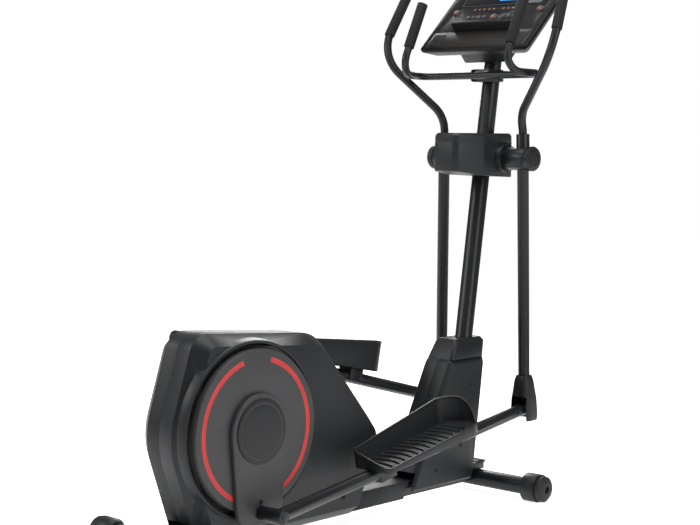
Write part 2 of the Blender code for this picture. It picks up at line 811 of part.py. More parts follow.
def drive_frame(parent):
    """Base plate, crank post and shell, flywheel ears, and the post of the magnets and the idler."""
    low = RAIL_TOP + GAP
    base = block("drive_frame", (-0.037, -0.10, low), (0.037, 0.44, low + PLATE), parent)
    post = block("crank_post", (-0.028, -0.030, low + PLATE / 2), (0.028, 0.030, CRANK_Z - 0.010), parent)
    shell = rod("crank_shell", -SHELL_HALF_WIDTH, SHELL_HALF_WIDTH, SHELL_RADIUS, parent, (0, CRANK_Z), 16)
    bore = rod("crank_shell_bore", -0.06, 0.06, CARTRIDGE_RADIUS + GAP, parent, (0, CRANK_Z), 20)
    ears = []
    ear_inner = FLYWHEEL_WIDTH / 2 + 0.008
    for side in (1, -1):
        outline = rounded(
            box_outline(FLYWHEEL_Y - 0.030, FLYWHEEL_Y + 0.030, low + PLATE / 2, FLYWHEEL_Z + 0.026),
            [0.002, 0.002, 0.024, 0.024],
            2,
        )
        name = side_name("flywheel_ear", side)
        ears.append(plate(name, outline, side * ear_inner, side * (ear_inner + PLATE), parent))
    shaft_hole = rod("shaft_hole", -0.06, 0.06, SHAFT_RADIUS + 0.0005, parent, (FLYWHEEL_Y, FLYWHEEL_Z))
    magnet_post = block(
        "magnet_post",
        (-0.016, MAGNET_POST_Y - 0.012, low + PLATE / 2),
        (0.016, MAGNET_POST_Y + 0.012, MAGNET_PIVOT_Z + 0.012),
        parent,
    )
    slot = block(
        "magnet_slot",
        (-0.0065, MAGNET_POST_Y - 0.03, MAGNET_PIVOT_Z - 0.022),
        (0.0065, MAGNET_POST_Y + 0.03, MAGNET_PIVOT_Z + 0.03),
        parent,
    )
    pin_hole = rod("magnet_pin_hole", -0.03, 0.03, 0.0043, parent, (MAGNET_POST_Y, MAGNET_PIVOT_Z), 16)
    idler_pivot = idler_geometry()[1]
    boss = rod("idler_boss", 0.012, 0.036, 0.010, parent, idler_pivot)
    boss_bore = rod("idler_boss_bore", 0.020, 0.05, 0.0045, parent, idler_pivot, 16)
    join(base, post, shell, *ears, magnet_post, boss)
    paint(cut(base, bore, shaft_hole, slot, pin_hole, boss_bore), "frame_paint")


def crank_bearing(parent):
    half = SHELL_HALF_WIDTH + 0.002
    profile = (
        (-half, AXLE_RADIUS + BORE),
        (-half, CARTRIDGE_RADIUS),
        (half, CARTRIDGE_RADIUS),
        (half, AXLE_RADIUS + BORE),
    )
    placing = {"centre": (0, CRANK_Z), "ends": "joined"}
    paint(lathe("crank_bearing", profile, parent, **placing), "steel")


def belt_tangent(sign):
    """The unit normal of the belt's upper (1) or lower (-1) straight run."""
    span = Vector((FLYWHEEL_Y, FLYWHEEL_Z - CRANK_Z))
    turn = math.acos((PULLEY_RADIUS - SMALL_PULLEY_RADIUS) / span.length)
    heading = math.atan2(span.y, span.x) + sign * turn
    return Vector((math.cos(heading), math.sin(heading)))


def belt_outline(offset, steps=14):
    """The loop round both pulleys, a given distance outside their rims."""
    high, low = belt_tangent(1), belt_tangent(-1)
    start = math.atan2(high.y, high.x)
    sweep = math.tau - 2 * (start - math.atan2(low.y, low.x)) / 2
    outline = []
    large, small = PULLEY_RADIUS + offset, SMALL_PULLEY_RADIUS + offset
    for i in range(2 * steps + 1):
        turn = start + sweep * i / (2 * steps)
        outline.append((large * math.cos(turn), CRANK_Z + large * math.sin(turn)))
    for i in range(steps + 1):
        turn = start + sweep + (math.tau - sweep) * i / steps
        outline.append((FLYWHEEL_Y + small * math.cos(turn), FLYWHEEL_Z + small * math.sin(turn)))
    return outline


def drive_belt(parent):
    inner = belt_outline(BELT_CLEARANCE)
    outer = belt_outline(BELT_CLEARANCE + BELT_THICKNESS)
    low, high = PULLEY_X - BELT_WIDTH / 2, PULLEY_X + BELT_WIDTH / 2
    rings = [x_ring(low, inner), x_ring(low, outer), x_ring(high, outer), x_ring(high, inner)]
    paint(mesh_object("drive_belt", rings, parent, "joined"), "belt_rubber")


def drive_pulley(crank):
    low, high = PULLEY_X - PULLEY_WIDTH / 2, PULLEY_X + PULLEY_WIDTH / 2
    profile = (
        (SHELL_HALF_WIDTH + 0.004, AXLE_RADIUS + GAP),
        (SHELL_HALF_WIDTH + 0.004, 0.024),
        (low, 0.024),
        (low, PULLEY_RADIUS),
        (high, PULLEY_RADIUS),
        (high, PULLEY_RADIUS - 0.010),
        (low + 0.005, PULLEY_RADIUS - 0.010),
        (low + 0.005, 0.024),
        (high, 0.024),
        (high, AXLE_RADIUS + GAP),
    )
    paint(lathe("drive_pulley", profile, crank, 28, "joined"), "moulded_black")


def flywheel(assembly):
    axis = empty("flywheel_axis", assembly, (0, FLYWHEEL_Y, FLYWHEEL_Z))
    half = FLYWHEEL_WIDTH / 2
    low, high = PULLEY_X - PULLEY_WIDTH / 2, PULLEY_X + PULLEY_WIDTH / 2
    profile = (
        (-half - 0.020, SHAFT_RADIUS),
        (-half, SHAFT_RADIUS),
        (-half, FLYWHEEL_RADIUS),
        (half, FLYWHEEL_RADIUS),
        (half, SHAFT_RADIUS),
        (low, SHAFT_RADIUS),
        (low, SMALL_PULLEY_RADIUS),
        (high, SMALL_PULLEY_RADIUS),
        (high, SHAFT_RADIUS),
        (high + 0.004, SHAFT_RADIUS),
    )
    paint(lathe("flywheel", profile, axis, 24), "cast_iron")


def idler_geometry():
    """The idler wheel's centre, under the belt's lower run, and its arm's pivot."""
    normal = belt_tangent(-1)
    start = Vector((0.0, CRANK_Z)) + normal * (PULLEY_RADIUS + BELT_CLEARANCE + BELT_THICKNESS)
    along = Vector((-normal.y, normal.x))
    touch = start + along * (IDLER_Y - start.x) / along.x
    centre = touch + normal * (IDLER_RADIUS + GAP)
    return (centre.x, centre.y), (MAGNET_POST_Y, 0.145)


def idler(assembly):
    centre, pivot = idler_geometry()
    arm_axis = empty("idler_arm_axis", assembly, (0, *pivot))
    offset = (centre[0] - pivot[0], centre[1] - pivot[1])
    outline = capsule((0.0, 0.0), offset, 0.010, 0.010)
    arm = plate("idler_arm", outline, 0.0365, 0.0415, arm_axis)
    pivot_pin = rod("idler_pivot_pin", 0.0215, 0.040, 0.004, arm_axis, sides=16)
    wheel_pin = rod("idler_wheel_pin", 0.038, PULLEY_X + 0.012, 0.005, arm_axis, offset, 16)
    paint(join(arm, pivot_pin, wheel_pin), "steel")
    wheel_axis = empty("idler_wheel_axis", assembly, (0, *centre))
    low, high = PULLEY_X - 0.009, PULLEY_X + 0.009
    profile = ((low, 0.0056), (low, IDLER_RADIUS), (high, IDLER_RADIUS), (high, 0.0056))
    paint(lathe("idler_wheel", profile, wheel_axis, 20, "joined"), "moulded_black")


def capsule(first, second, first_radius, second_radius, steps=6):
    """An outline round two circles joined by straight sides."""
    heading = math.atan2(second[1] - first[1], second[0] - first[0])
    outline = []
    for centre, radius, start in ((second, second_radius, -math.pi / 2), (first, first_radius, math.pi / 2)):
        for i in range(steps + 1):
            turn = heading + start + math.pi * i / steps
            outline.append((centre[0] + radius * math.cos(turn), centre[1] + radius * math.sin(turn)))
    return outline


def magnet_bracket(assembly):
    """A curved shoe beside the flywheel's rim, hinged at its foot."""
    axis = empty("magnet_axis", assembly, (0, MAGNET_POST_Y, MAGNET_PIVOT_Z))
    centre = (FLYWHEEL_Y - MAGNET_POST_Y, FLYWHEEL_Z - MAGNET_PIVOT_Z)
    inner_radius = FLYWHEEL_RADIUS + MAGNET_GAP
    outer_radius = inner_radius + MAGNET_THICKNESS
    turns = [math.radians(140 + 73 * i / 10) for i in range(11)]
    outer = [(centre[0] + outer_radius * math.cos(t), centre[1] + outer_radius * math.sin(t)) for t in turns]
    inner = [(centre[0] + inner_radius * math.cos(t), centre[1] + inner_radius * math.sin(t)) for t in turns]
    half = FLYWHEEL_WIDTH / 2
    shoe = plate("magnet_bracket", outer + inner[::-1], -half, half, axis)
    foot = ((outer[-1][0] + inner[-1][0]) / 2, (outer[-1][1] + inner[-1][1]) / 2 + 0.006)
    lug = plate("magnet_lug", capsule((0.0, 0.0), foot, 0.009, 0.007), -0.006, 0.006, axis)
    pin = rod("magnet_pin", -0.0155, 0.0155, 0.004, axis, sides=16)
    paint(join(shoe, lug, pin), "steel")


def resistance_motor(parent):
    low = RAIL_TOP + 2 * GAP + PLATE
    body = block("resistance_motor", (-0.026, 0.075, low), (0.026, 0.150, low + 0.048), parent)
    drum = rod("motor_drum", -0.035, 0.0, 0.016, parent, (0.112, low + 0.026))
    paint(join(body, drum), "moulded_black")


# ---------------------------------------------------------------- crank


def crank_axle(crank):
    end = DISC_FACE_X + 0.0125
    paint(rod("crank_axle", -end, end, AXLE_RADIUS, crank, sides=24), "steel")


def crank_disc(side, crank):
    back = DISC_FACE_X - DISC_DEPTH
    plate_back = DISC_FACE_X - DISC_SKIN
    bore = AXLE_RADIUS + GAP
    radius = DISC_RADII[side]
    profile = (
        (back, bore),
        (back, 0.030),
        (plate_back, 0.030),
        (plate_back, radius - DISC_SKIN),
        (back, radius - DISC_SKIN),
        (back, radius),
        (DISC_FACE_X, radius - 0.002),
        (DISC_FACE_X, bore),
    )
    disc = lathe(side_name("crank_disc", side), profile, crank, 36, "joined", side=side)
    paint(disc, "disc_grey")


def crank_arm(side, crank):
    low = DISC_FACE_X + RUN + 0.0005
    pin = (0.0, -side * CRANK_RADIUS)
    outline = capsule((0.0, 0.0), pin, CRANK_ARM_HALF_WIDTH + 0.003, CRANK_ARM_HALF_WIDTH - 0.004)
    arm = plate(
        side_name("crank_arm", side), outline, side * low, side * (low + CRANK_ARM_THICKNESS), crank
    )
    bore = rod(
        side_name("crank_arm_bore", side), side * 0.10, side * 0.16, AXLE_RADIUS + GAP, crank, sides=24
    )
    paint(cut(arm, bore), "steel")


def crank_cover_outline(side, offset):
    """A round head about the axle, with straight sides to a blunt tip past the pin."""
    head = [
        ((CRANK_COVER_RADIUS - offset) * math.cos(turn), (CRANK_COVER_RADIUS - offset) * math.sin(turn))
        for turn in (math.pi * i / 12 for i in range(13))
    ]
    tip_z = -(CRANK_RADIUS + CRANK_COVER_TIP_REACH[side]) + offset
    half = CRANK_COVER_TIP_HALF_WIDTH - offset
    corners = [
        Vector((*head[-1], 0)),
        Vector((-half, tip_z, 0)),
        Vector((half, tip_z, 0)),
        Vector((*head[0], 0)),
    ]
    tip = corner_arc(*corners[:3], 0.055 - offset, 5) + corner_arc(*corners[1:], 0.055 - offset, 5)
    return [(y, side * z) for y, z in head + [(point.x, point.y) for point in tip]]


def crank_cover(side, crank):
    back = DISC_FACE_X + RUN / 2
    inner_face = DISC_FACE_X + 2 * RUN + CRANK_ARM_THICKNESS + 0.001
    outer_face = inner_face + CRANK_COVER_SKIN
    rings = [
        x_ring(side * inner_face, crank_cover_outline(side, CRANK_COVER_SKIN)),
        x_ring(side * back, crank_cover_outline(side, CRANK_COVER_SKIN)),
        x_ring(side * back, crank_cover_outline(side, 0.0)),
        x_ring(side * (outer_face - 0.003), crank_cover_outline(side, 0.0)),
        x_ring(side * outer_face, crank_cover_outline(side, 0.003)),
    ]
    cover = mesh_object(side_name("crank_cover", side), rings, crank)
    cap_profile = (
        (outer_face - 0.0015, CRANK_CAP_RADIUS),
        (outer_face + CRANK_CAP_HEIGHT - 0.002, CRANK_CAP_RADIUS),
        (outer_face + CRANK_CAP_HEIGHT, CRANK_CAP_RADIUS - 0.003),
    )
    cap = lathe(side_name("crank_cap", side), cap_profile, crank, 28, side=side)
    paint(join(cover, cap), "disc_grey")


def cover_face_x():
    return DISC_FACE_X + 2 * RUN + CRANK_ARM_THICKNESS + 0.001 + CRANK_COVER_SKIN


# ---------------------------------------------------------------- swing arms


def swing_arm(side, swing):
    """Lower tube, pivot hub, collar for the handle, and the fork and bolt of the lower pivot."""
    name = side_name("swing_arm", side)
    profile = (
        (HUB_INNER_X, PIVOT_AXLE_RADIUS + BORE),
        (HUB_INNER_X, HUB_RADIUS),
        (HUB_OUTER_X, HUB_RADIUS),
        (HUB_OUTER_X, PIVOT_AXLE_RADIUS + BORE),
    )
    hub = lathe(name, profile, swing, ends="joined", side=side)
    bridge = -SWING_LENGTH + 0.046
    tube = bar(
        name + "_tube", sided(side, (ARM_X, 0, -0.030), (ARM_X, 0, bridge - 0.002)), ARM_RADIUS, swing
    )
    # The tube's inside, with a drain hole through the web
    tube_inner = upright(
        name + "_tube_inner",
        (
            (-HUB_RADIUS - 0.010, ARM_RADIUS - TUBE_WALL),
            (bridge + 0.014, ARM_RADIUS - TUBE_WALL),
            (bridge + 0.010, 0.005),
            (bridge - 0.030, 0.005),
        ),
        side * ARM_X,
        swing,
    )
    collar = bar(
        name + "_collar", sided(side, (ARM_X, 0, 0.030), (ARM_X, 0, COLLAR_TOP)), COLLAR_RADIUS, swing
    )
    socket = bar(
        name + "_socket",
        sided(side, (ARM_X, 0, 0.044), (ARM_X, 0, COLLAR_TOP + 0.02)),
        HANDLE_RADIUS + 0.0010,
        swing,
    )
    fork = []
    for label, x in (("inner", ARM_X - FORK_HALF_GAP - FORK_PLATE), ("outer", ARM_X + FORK_HALF_GAP)):
        outline = capsule((0, -SWING_LENGTH), (0, bridge - 0.010), 0.017, 0.017)
        fork.append(plate(f"{name}_fork_{label}", outline, side * x, side * (x + FORK_PLATE), swing))
    reach = FORK_HALF_GAP + FORK_PLATE
    web = block(
        name + "_web",
        (side * ARM_X - reach + 0.001, -0.016, bridge - 0.006),
        (side * ARM_X + reach - 0.001, 0.016, bridge + 0.006),
        swing,
    )
    bolt = rod(
        name + "_bolt",
        side * (ARM_X - reach - 0.003),
        side * (ARM_X + reach + 0.003),
        CLEVIS_BOLT_RADIUS,
        swing,
        (0, -SWING_LENGTH),
    )
    join(hub, tube, collar, web, *fork, bolt)
    paint(cut(hub, tube_inner, socket), "frame_paint")


def handle_path(side):
    foot = (ARM_X, 0.0, 0.046)
    start = (ARM_X, 0.0, COLLAR_TOP + 0.012)
    points = sided(side, start, *HANDLE_BENDS, HANDLE_TOP)
    path = bent_path(points, HANDLE_BEND_RADII, 4)
    return [Vector((side * foot[0], foot[1], foot[2]))] + path


def handle_and_grip(side, swing):
    path = handle_path(side)
    end_wall = 0.004
    tube_path = first_stretch(path, path_length(path) - end_wall - GAP)
    paint(
        pipe(side_name("handle", side), tube_path, HANDLE_RADIUS, 0.002, swing, 10), "frame_paint"
    )
    grip_path = last_stretch(path, GRIP_LENGTH)
    grip = sleeve(
        side_name("grip", side), grip_path, GRIP_RADIUS, HANDLE_RADIUS + GAP, end_wall, swing, 10
    )
    paint(grip, "foam")


def pivot_cap(side, swing):
    low = HUB_OUTER_X + RUN
    high = low + PIVOT_CAP_THICKNESS
    profile = (
        (low, PIVOT_CAP_RADIUS - 0.001),
        (high - 0.006, PIVOT_CAP_RADIUS),
        (high - 0.0015, PIVOT_CAP_RADIUS - 0.003),
        (high, PIVOT_CAP_RADIUS - 0.008),
    )
    paint(lathe(side_name("pivot_cap", side), profile, swing, side=side), "moulded_black")


def clevis_cover(side, swing):
    """A bell over the fork, open below and towards the pedal arm."""
    stations = (  # height over the pivot, half depth along X, half width along Y
        (0.112, 0.0225, 0.0215),
        (0.096, 0.0275, 0.0260),
        (0.035, 0.0375, 0.0320),
        (-0.018, 0.0405, 0.0345),
        (-0.036, 0.0385, 0.0325),
    )

    def rings(offset, top_drop):
        result = []
        for i, (rise, half_x, half_y) in enumerate(stations):
            drop = top_drop if i == 0 else 0.0
            outline = rounded(
                box_outline(-half_x + offset, half_x - offset, -half_y + offset, half_y - offset),
                [0.6 * (half_y - offset)] * 4,
                3,
            )
            height = -SWING_LENGTH + rise - drop
            result.append([(side * (ARM_X + a), b, height) for a, b in outline])
        return result

    outer = rings(0.0, 0.0)
    inner = rings(CLEVIS_COVER_SKIN, CLEVIS_COVER_SKIN)
    name = side_name("clevis_cover", side)
    cover = mesh_object(name, inner + outer[::-1], swing)
    hole = bar(
        name + "_hole",
        sided(side, (ARM_X, 0, -SWING_LENGTH + 0.08), (ARM_X, 0, -SWING_LENGTH + 0.13)),
        ARM_RADIUS + 0.0006,
        swing,
    )
    mouth = block(
        name + "_mouth",
        (side * ARM_X - 0.0300, -0.060, -SWING_LENGTH - 0.060),
        (side * ARM_X + 0.0300, -0.010, -SWING_LENGTH + 0.062),
        swing,
    )
    paint(cut(cover, hole, mouth), "moulded_black")


# ---------------------------------------------------------------- pedal arms


def pedal_arm(side, arm):
    """Tube from the crank pin's hub to the eye in the swing arm's fork, with the pedal's brackets."""
    name = side_name("pedal_arm", side)
    pin_y = -PEDAL_ARM_LENGTH
    spacer_start = cover_face_x() + RUN
    profile = (
        (spacer_start, 0.018),
        (spacer_start + 0.002, PEDAL_HUB_RADIUS - 0.0015),
        (PIN_X - PEDAL_HUB_HALF, PEDAL_HUB_RADIUS - 0.0015),
        (PIN_X - PEDAL_HUB_HALF, PEDAL_HUB_RADIUS),
        (PIN_X + PEDAL_HUB_HALF, PEDAL_HUB_RADIUS),
        (PIN_X + PEDAL_HUB_HALF + 0.003, PEDAL_HUB_RADIUS - 0.003),
        (PIN_X + PEDAL_HUB_HALF + 0.003, BOLT_HEAD_RADIUS),
        (PIN_X + PEDAL_HUB_HALF + 0.006, BOLT_HEAD_RADIUS - 0.001),
    )
    hub = lathe(name, profile, arm, 20, side=side, centre=(pin_y, 0))
    ends = sided(side, (PIN_X, pin_y + 0.012, 0), (ARM_X, -0.016, 0))
    tube = bar(name + "_tube", ends, PEDAL_ARM_RADIUS, arm)
    inner_ends = sided(side, (PIN_X, pin_y + 0.030, 0), (ARM_X, -0.034, 0))
    core = bar(name + "_core", inner_ends, PEDAL_ARM_RADIUS - TUBE_WALL, arm)
    vent = rod(
        name + "_vent", side * ARM_X, side * (ARM_X + 0.06), 0.004, arm, (-0.060, 0.0), 12
    )
    half = FORK_HALF_GAP - RUN / 2
    eye = rod(
        name + "_eye", side * (ARM_X - half), side * (ARM_X + half), EYE_RADIUS, arm, (0, 0), 20
    )
    bore = rod(
        name + "_bore", side * 0.12, side * 0.22, CLEVIS_BOLT_RADIUS + 0.0005, arm, (0, 0), 16
    )
    pedal = pedal_frame(side, arm)
    brackets = []
    for label, low, high in (("rear", -0.195, -0.125), ("front", 0.085, 0.145)):
        brackets.append(
            block(
                f"{name}_{label}_bracket",
                (side * -0.0225 - 0.026, low, -0.050),
                (side * -0.0225 + 0.026, high, -GAP),
                pedal,
            )
        )
    join(hub, tube, eye, *brackets)
    paint(cut(hub, core, vent, bore), "frame_paint")
    return pedal


def pedal_frame(side, arm):
    """An empty in the middle of the pedal's floor."""
    place = (side * PEDAL_X, PEDAL_FROM_PIN - PEDAL_ARM_LENGTH, PEDAL_RISE)
    return empty(side_name("pedal_frame", side), arm, place, PEDAL_TILT)


def pedal(side, frame):
    """A tray with a low outer rim, a rounded toe and a high wall on the inner side."""
    half_width, half_length = PEDAL_WIDTH / 2, PEDAL_LENGTH / 2
    plan = (
        (half_width, -half_length),
        (half_width, half_length),
        (-half_width, half_length),
        (-half_width, -half_length),
    )
    radii = (PEDAL_CORNER, PEDAL_TOE, PEDAL_TOE, PEDAL_CORNER)

    def outline(offset):
        return rounded(inset(plan, offset), smaller(radii, offset), 6)

    def rim(x, y):
        share = min(1.0, max(0.0, (half_width - x) / PEDAL_WIDTH))
        back = min(1.0, (y + half_length) / 0.17)
        wall = PEDAL_INNER_WALL * (0.61 + 0.39 * back)
        toe = min(1.0, max(0.0, (y - half_length + 0.095) / 0.06))
        rise = max(share**1.3, toe * min(1.0, share / 0.25))
        return PEDAL_RIM + (wall - PEDAL_RIM) * rise

    def skirt(y):
        return -PEDAL_SKIRT * min(1.0, max(0.0, (y + half_length - 0.03) / 0.06))

    def ring(offset, height):
        return [(side * x, y, height(x, y)) for x, y in outline(offset)]

    rings = [
        ring(PEDAL_WALL, lambda x, y: 0.0),
        ring(PEDAL_WALL, lambda x, y: skirt(y) - 0.0004),
        ring(0.0, lambda x, y: skirt(y) - 0.0004),
        ring(0.0, rim),
        ring(PEDAL_WALL, rim),
        ring(PEDAL_WALL + 0.001, lambda x, y: 0.005),
    ]
    body = mesh_object(side_name("pedal", side), rings, frame)
    paint(body, "moulded_black")


# ---------------------------------------------------------------- fixed handlebar


def pulse_handlebar(parent):
    """One bent tube across the back of the mast, welded to a saddle that holds the mast."""
    right = bent_path([(0.0, *BAR_CORNERS[0][1:]), *BAR_CORNERS, BAR_END], BAR_RADII, 3)
    end_wall = 0.004
    length = path_length(right)
    right_tube = first_stretch(right, length - end_wall - GAP)
    left_tube = [Vector((-p.x, p.y, p.z)) for p in right_tube]
    tube = pipe("pulse_handlebar", left_tube[:0:-1] + right_tube[1:], BAR_RADIUS, 0.002, parent, 10)
    y, z = BAR_CORNERS[0][1:]
    saddle = block(
        "handlebar_saddle",
        (-CLAMP_HALF_WIDTH, y + BAR_RADIUS - 0.004, z - CLAMP_HALF_HEIGHT),
        (CLAMP_HALF_WIDTH, mast_y(z) + 0.004, z + CLAMP_HALF_HEIGHT),
        parent,
    )
    path = ((0, mast_y(1.30), 1.30), (0, mast_y(1.46), 1.46))
    relief = bar("saddle_relief", path, MAST_RADIUS + GAP, parent, 24)
    cut(saddle, relief)
    paint(join(tube, saddle), "frame_paint")
    for side in (1, -1):
        path = [Vector((side * p.x, p.y, p.z)) for p in last_stretch(right, BAR_GRIP_LENGTH)]
        name = side_name("pulse_grip", side)
        paint(sleeve(name, path, BAR_GRIP_RADIUS, BAR_RADIUS + GAP, end_wall, parent, 10), "foam")


# ---------------------------------------------------------------- console


def face_block(name, low, high, face):
    """A box in the console's own axes: X, up the face, and out of it."""
    return block(name, low, high, face)


def console_face(face):
    plan = rounded(box_outline(-CONSOLE_HALF_WIDTH, CONSOLE_HALF_WIDTH, 0.0, CONSOLE_LENGTH), [0.012] * 4)
    panel = mesh_object("console_face", [z_ring(-FACE_THICKNESS, plan), z_ring(0.0, plan)], face)
    ledge = face_block(
        "tablet_ledge",
        (-LEDGE_HALF_WIDTH, LEDGE_S, -0.004),
        (LEDGE_HALF_WIDTH, LEDGE_S + LEDGE_THICKNESS, LEDGE_PROUD),
        face,
    )
    lip = face_block(
        "tablet_lip",
        (-LEDGE_HALF_WIDTH + 0.001, LEDGE_S + 0.001, LEDGE_PROUD - 0.004),
        (LEDGE_HALF_WIDTH - 0.001, LEDGE_S + LEDGE_THICKNESS + 0.006, LEDGE_PROUD + 0.002),
        face,
    )
    pocket = face_block(
        "lens_pocket",
        (-LENS_HALF_WIDTH - GAP, LENS_LOW - GAP, -LENS_THICKNESS - 2 * GAP),
        (LENS_HALF_WIDTH + GAP, LENS_HIGH + GAP, 0.01),
        face,
    )
    holes = []
    for name, x, s in key_places():
        hole = disc_on_face(name + "_hole", x, s, KEY_RADIUS + KEY_CLEARANCE, (-0.03, 0.02), face)
        holes.append(hole)
    join(panel, ledge, lip)
    paint(cut(panel, pocket, *holes), "moulded_black")


def key_places():
    return (
        ("resistance_down_key", -KEY_X, KEY_S),
        ("resistance_up_key", KEY_X, KEY_S),
        ("start_key", 0.0, KEY_S - 0.030),
    )


def disc_on_face(name, x, s, radius, span, parent, sides=20):
    rings = [[(x + a, s + b, height) for a, b in circle(radius, sides)] for height in span]
    return mesh_object(name, rings, parent)


def console_keys(face):
    for name, x, s in key_places():
        axis = empty(name + "_axis", face, (x, s, 0.0))
        rings = [
            [(a, b, height) for a, b in circle(radius, 20)]
            for height, radius in (
                (-FACE_THICKNESS + 0.001, KEY_RADIUS),
                (KEY_PROUD - 0.001, KEY_RADIUS),
                (KEY_PROUD, KEY_RADIUS - 0.0015),
            )
        ]
        paint(mesh_object(name, rings, axis), "key_plastic")


def display_lens(face):
    lens = face_block(
        "display_lens",
        (-LENS_HALF_WIDTH, LENS_LOW, -LENS_THICKNESS - GAP),
        (LENS_HALF_WIDTH, LENS_HIGH, -GAP),
        face,
    )
    paint(lens, "dark_glass")


def housing_rings(offset, top, floor):
    """The housing's outline at the face and at its flat back, moved inwards by an offset."""
    wide = box_outline(
        -CONSOLE_HALF_WIDTH + offset, CONSOLE_HALF_WIDTH - offset, offset, CONSOLE_LENGTH - offset
    )
    deep = box_outline(
        -CONSOLE_HALF_WIDTH + 0.030 + offset,
        CONSOLE_HALF_WIDTH - 0.030 - offset,
        0.022 + offset,
        CONSOLE_LENGTH - 0.030 - offset,
    )
    return [z_ring(top, rounded(wide, [0.012] * 4)), z_ring(floor, rounded(deep, [0.012] * 4))]


def neck_block(name, offset, face):
    outline = rounded(
        box_outline(
            -NECK_HALF_WIDTH + offset, NECK_HALF_WIDTH - offset, NECK_BOTTOM + offset, NECK_TOP - offset
        ),
        [0.018] * 4,
    )
    top = -CONSOLE_DEPTH + 0.020 + offset
    return mesh_object(name, [z_ring(-NECK_DEPTH + offset, outline), z_ring(top, outline)], face)


def console_housing(face, assembly):
    """A shallow shell behind the face, with a hollow neck that takes the mast's top."""
    top = -FACE_THICKNESS - GAP
    shell = mesh_object("console_housing", housing_rings(0.0, top, -CONSOLE_DEPTH), face)
    inside = housing_rings(SKIN, top, -CONSOLE_DEPTH + SKIN)
    above = [(x, y, 0.20) for x, y, _ in inside[0]]
    cavity = mesh_object("console_cavity", [above, *inside], face)
    neck = neck_block("console_neck", 0.0, face)
    neck_cavity = neck_block("console_neck_cavity", SKIN, face)
    path = ((0, mast_y(1.38), 1.38), (0, mast_y(MAST_TOP), MAST_TOP))
    mast_bore = bar("console_mast_bore", path, MAST_RADIUS + 0.0009, assembly, 20)
    join(shell, neck)
    paint(cut(shell, cavity, neck_cavity, mast_bore), "moulded_black")


# ---------------------------------------------------------------- assembly


def build_frame(assembly):
    for name, y in (("front_stabilizer", FRONT_STABILIZER_Y), ("rear_stabilizer", REAR_STABILIZER_Y)):
        stabilizer(name, y, assembly)
    for side in (1, -1):
        end_cap(side_name("front_end_cap", side), side, FRONT_STABILIZER_Y, FRONT_CAP_RADIUS, assembly)
        end_cap(side_name("rear_end_cap", side), side, REAR_STABILIZER_Y, REAR_CAP_RADIUS, assembly)
        end_wheel(side_name("transport_wheel", side), side, FRONT_STABILIZER_Y, WHEEL_RADIUS, 0.0, assembly)
        end_wheel(
            side_name("levelling_cap", side), side, REAR_STABILIZER_Y, LEVELLER_RADIUS, LEVELLER_THROW, assembly
        )
    main_rail(assembly)
    mast(assembly)
    pivot_axle(assembly)


def build_covers(assembly):
    for side in (1, -1):
        shroud_half(side, assembly)
        mast_cover_half(side, assembly)
    rail_cover(assembly)
    mast_cover_cap(assembly)
    pivot_housing(assembly)
    accessory_tray(assembly)


def build_drive(assembly):
    drive_frame(assembly)
    crank_bearing(assembly)
    drive_belt(assembly)
    flywheel(assembly)
    idler(assembly)
    magnet_bracket(assembly)
    resistance_motor(assembly)


def build_crank(assembly):
    crank = empty("crank_axis", assembly, (0, 0, CRANK_Z))
    crank_axle(crank)
    drive_pulley(crank)
    for side in (1, -1):
        crank_disc(side, crank)
        crank_arm(side, crank)
        crank_cover(side, crank)


def build_arms(assembly):
    for side in (1, -1):
        swing = empty(side_name("swing_axis", side), assembly, (0, PIVOT_Y, PIVOT_Z), swing_rest(side))
        swing_arm(side, swing)
        handle_and_grip(side, swing)
        pivot_cap(side, swing)
        clevis_cover(side, swing)
        tilt = pedal_arm_rest(side) - swing_rest(side)
        arm = empty(side_name("pedal_arm_axis", side), swing, (0, 0, -SWING_LENGTH), tilt)
        pedal(side, pedal_arm(side, arm))


def build_console(assembly):
    face = empty("console_frame", assembly, (0, CONSOLE_Y, CONSOLE_Z), CONSOLE_TILT)
    console_face(face)
    console_keys(face)
    display_lens(face)
    console_housing(face, assembly)


def centre_footprint(assembly):
    """Moves the assembly so that the middle of its box in Y is over the origin."""
    bpy.context.view_layer.update()
    graph = bpy.context.evaluated_depsgraph_get()
    reach = []
    for obj in bpy.context.scene.objects:
        if obj.type != "MESH" or obj.hide_render:
            continue
        shown = obj.evaluated_get(graph)
        reach += [(shown.matrix_world @ vertex.co).y for vertex in shown.data.vertices]
    assembly.location.y = -(min(reach) + max(reach)) / 2


def main():
    clear_scene()
    assembly = empty("assembly", None, (0, 0, 0))
    build_frame(assembly)
    build_covers(assembly)
    build_drive(assembly)
    build_crank(assembly)
    build_arms(assembly)
    pulse_handlebar(assembly)
    build_console(assembly)
    centre_footprint(assembly)


main()
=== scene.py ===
"""The elliptical trainer's looks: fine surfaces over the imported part, small trim, materials
and a studio.

Metres. Shapes are laid out with Y = 0 at the crank axle; finish_pieces moves them into the part's
frame.
"""

import json
import math

import bmesh
import bpy
from mathutils import Matrix, Vector

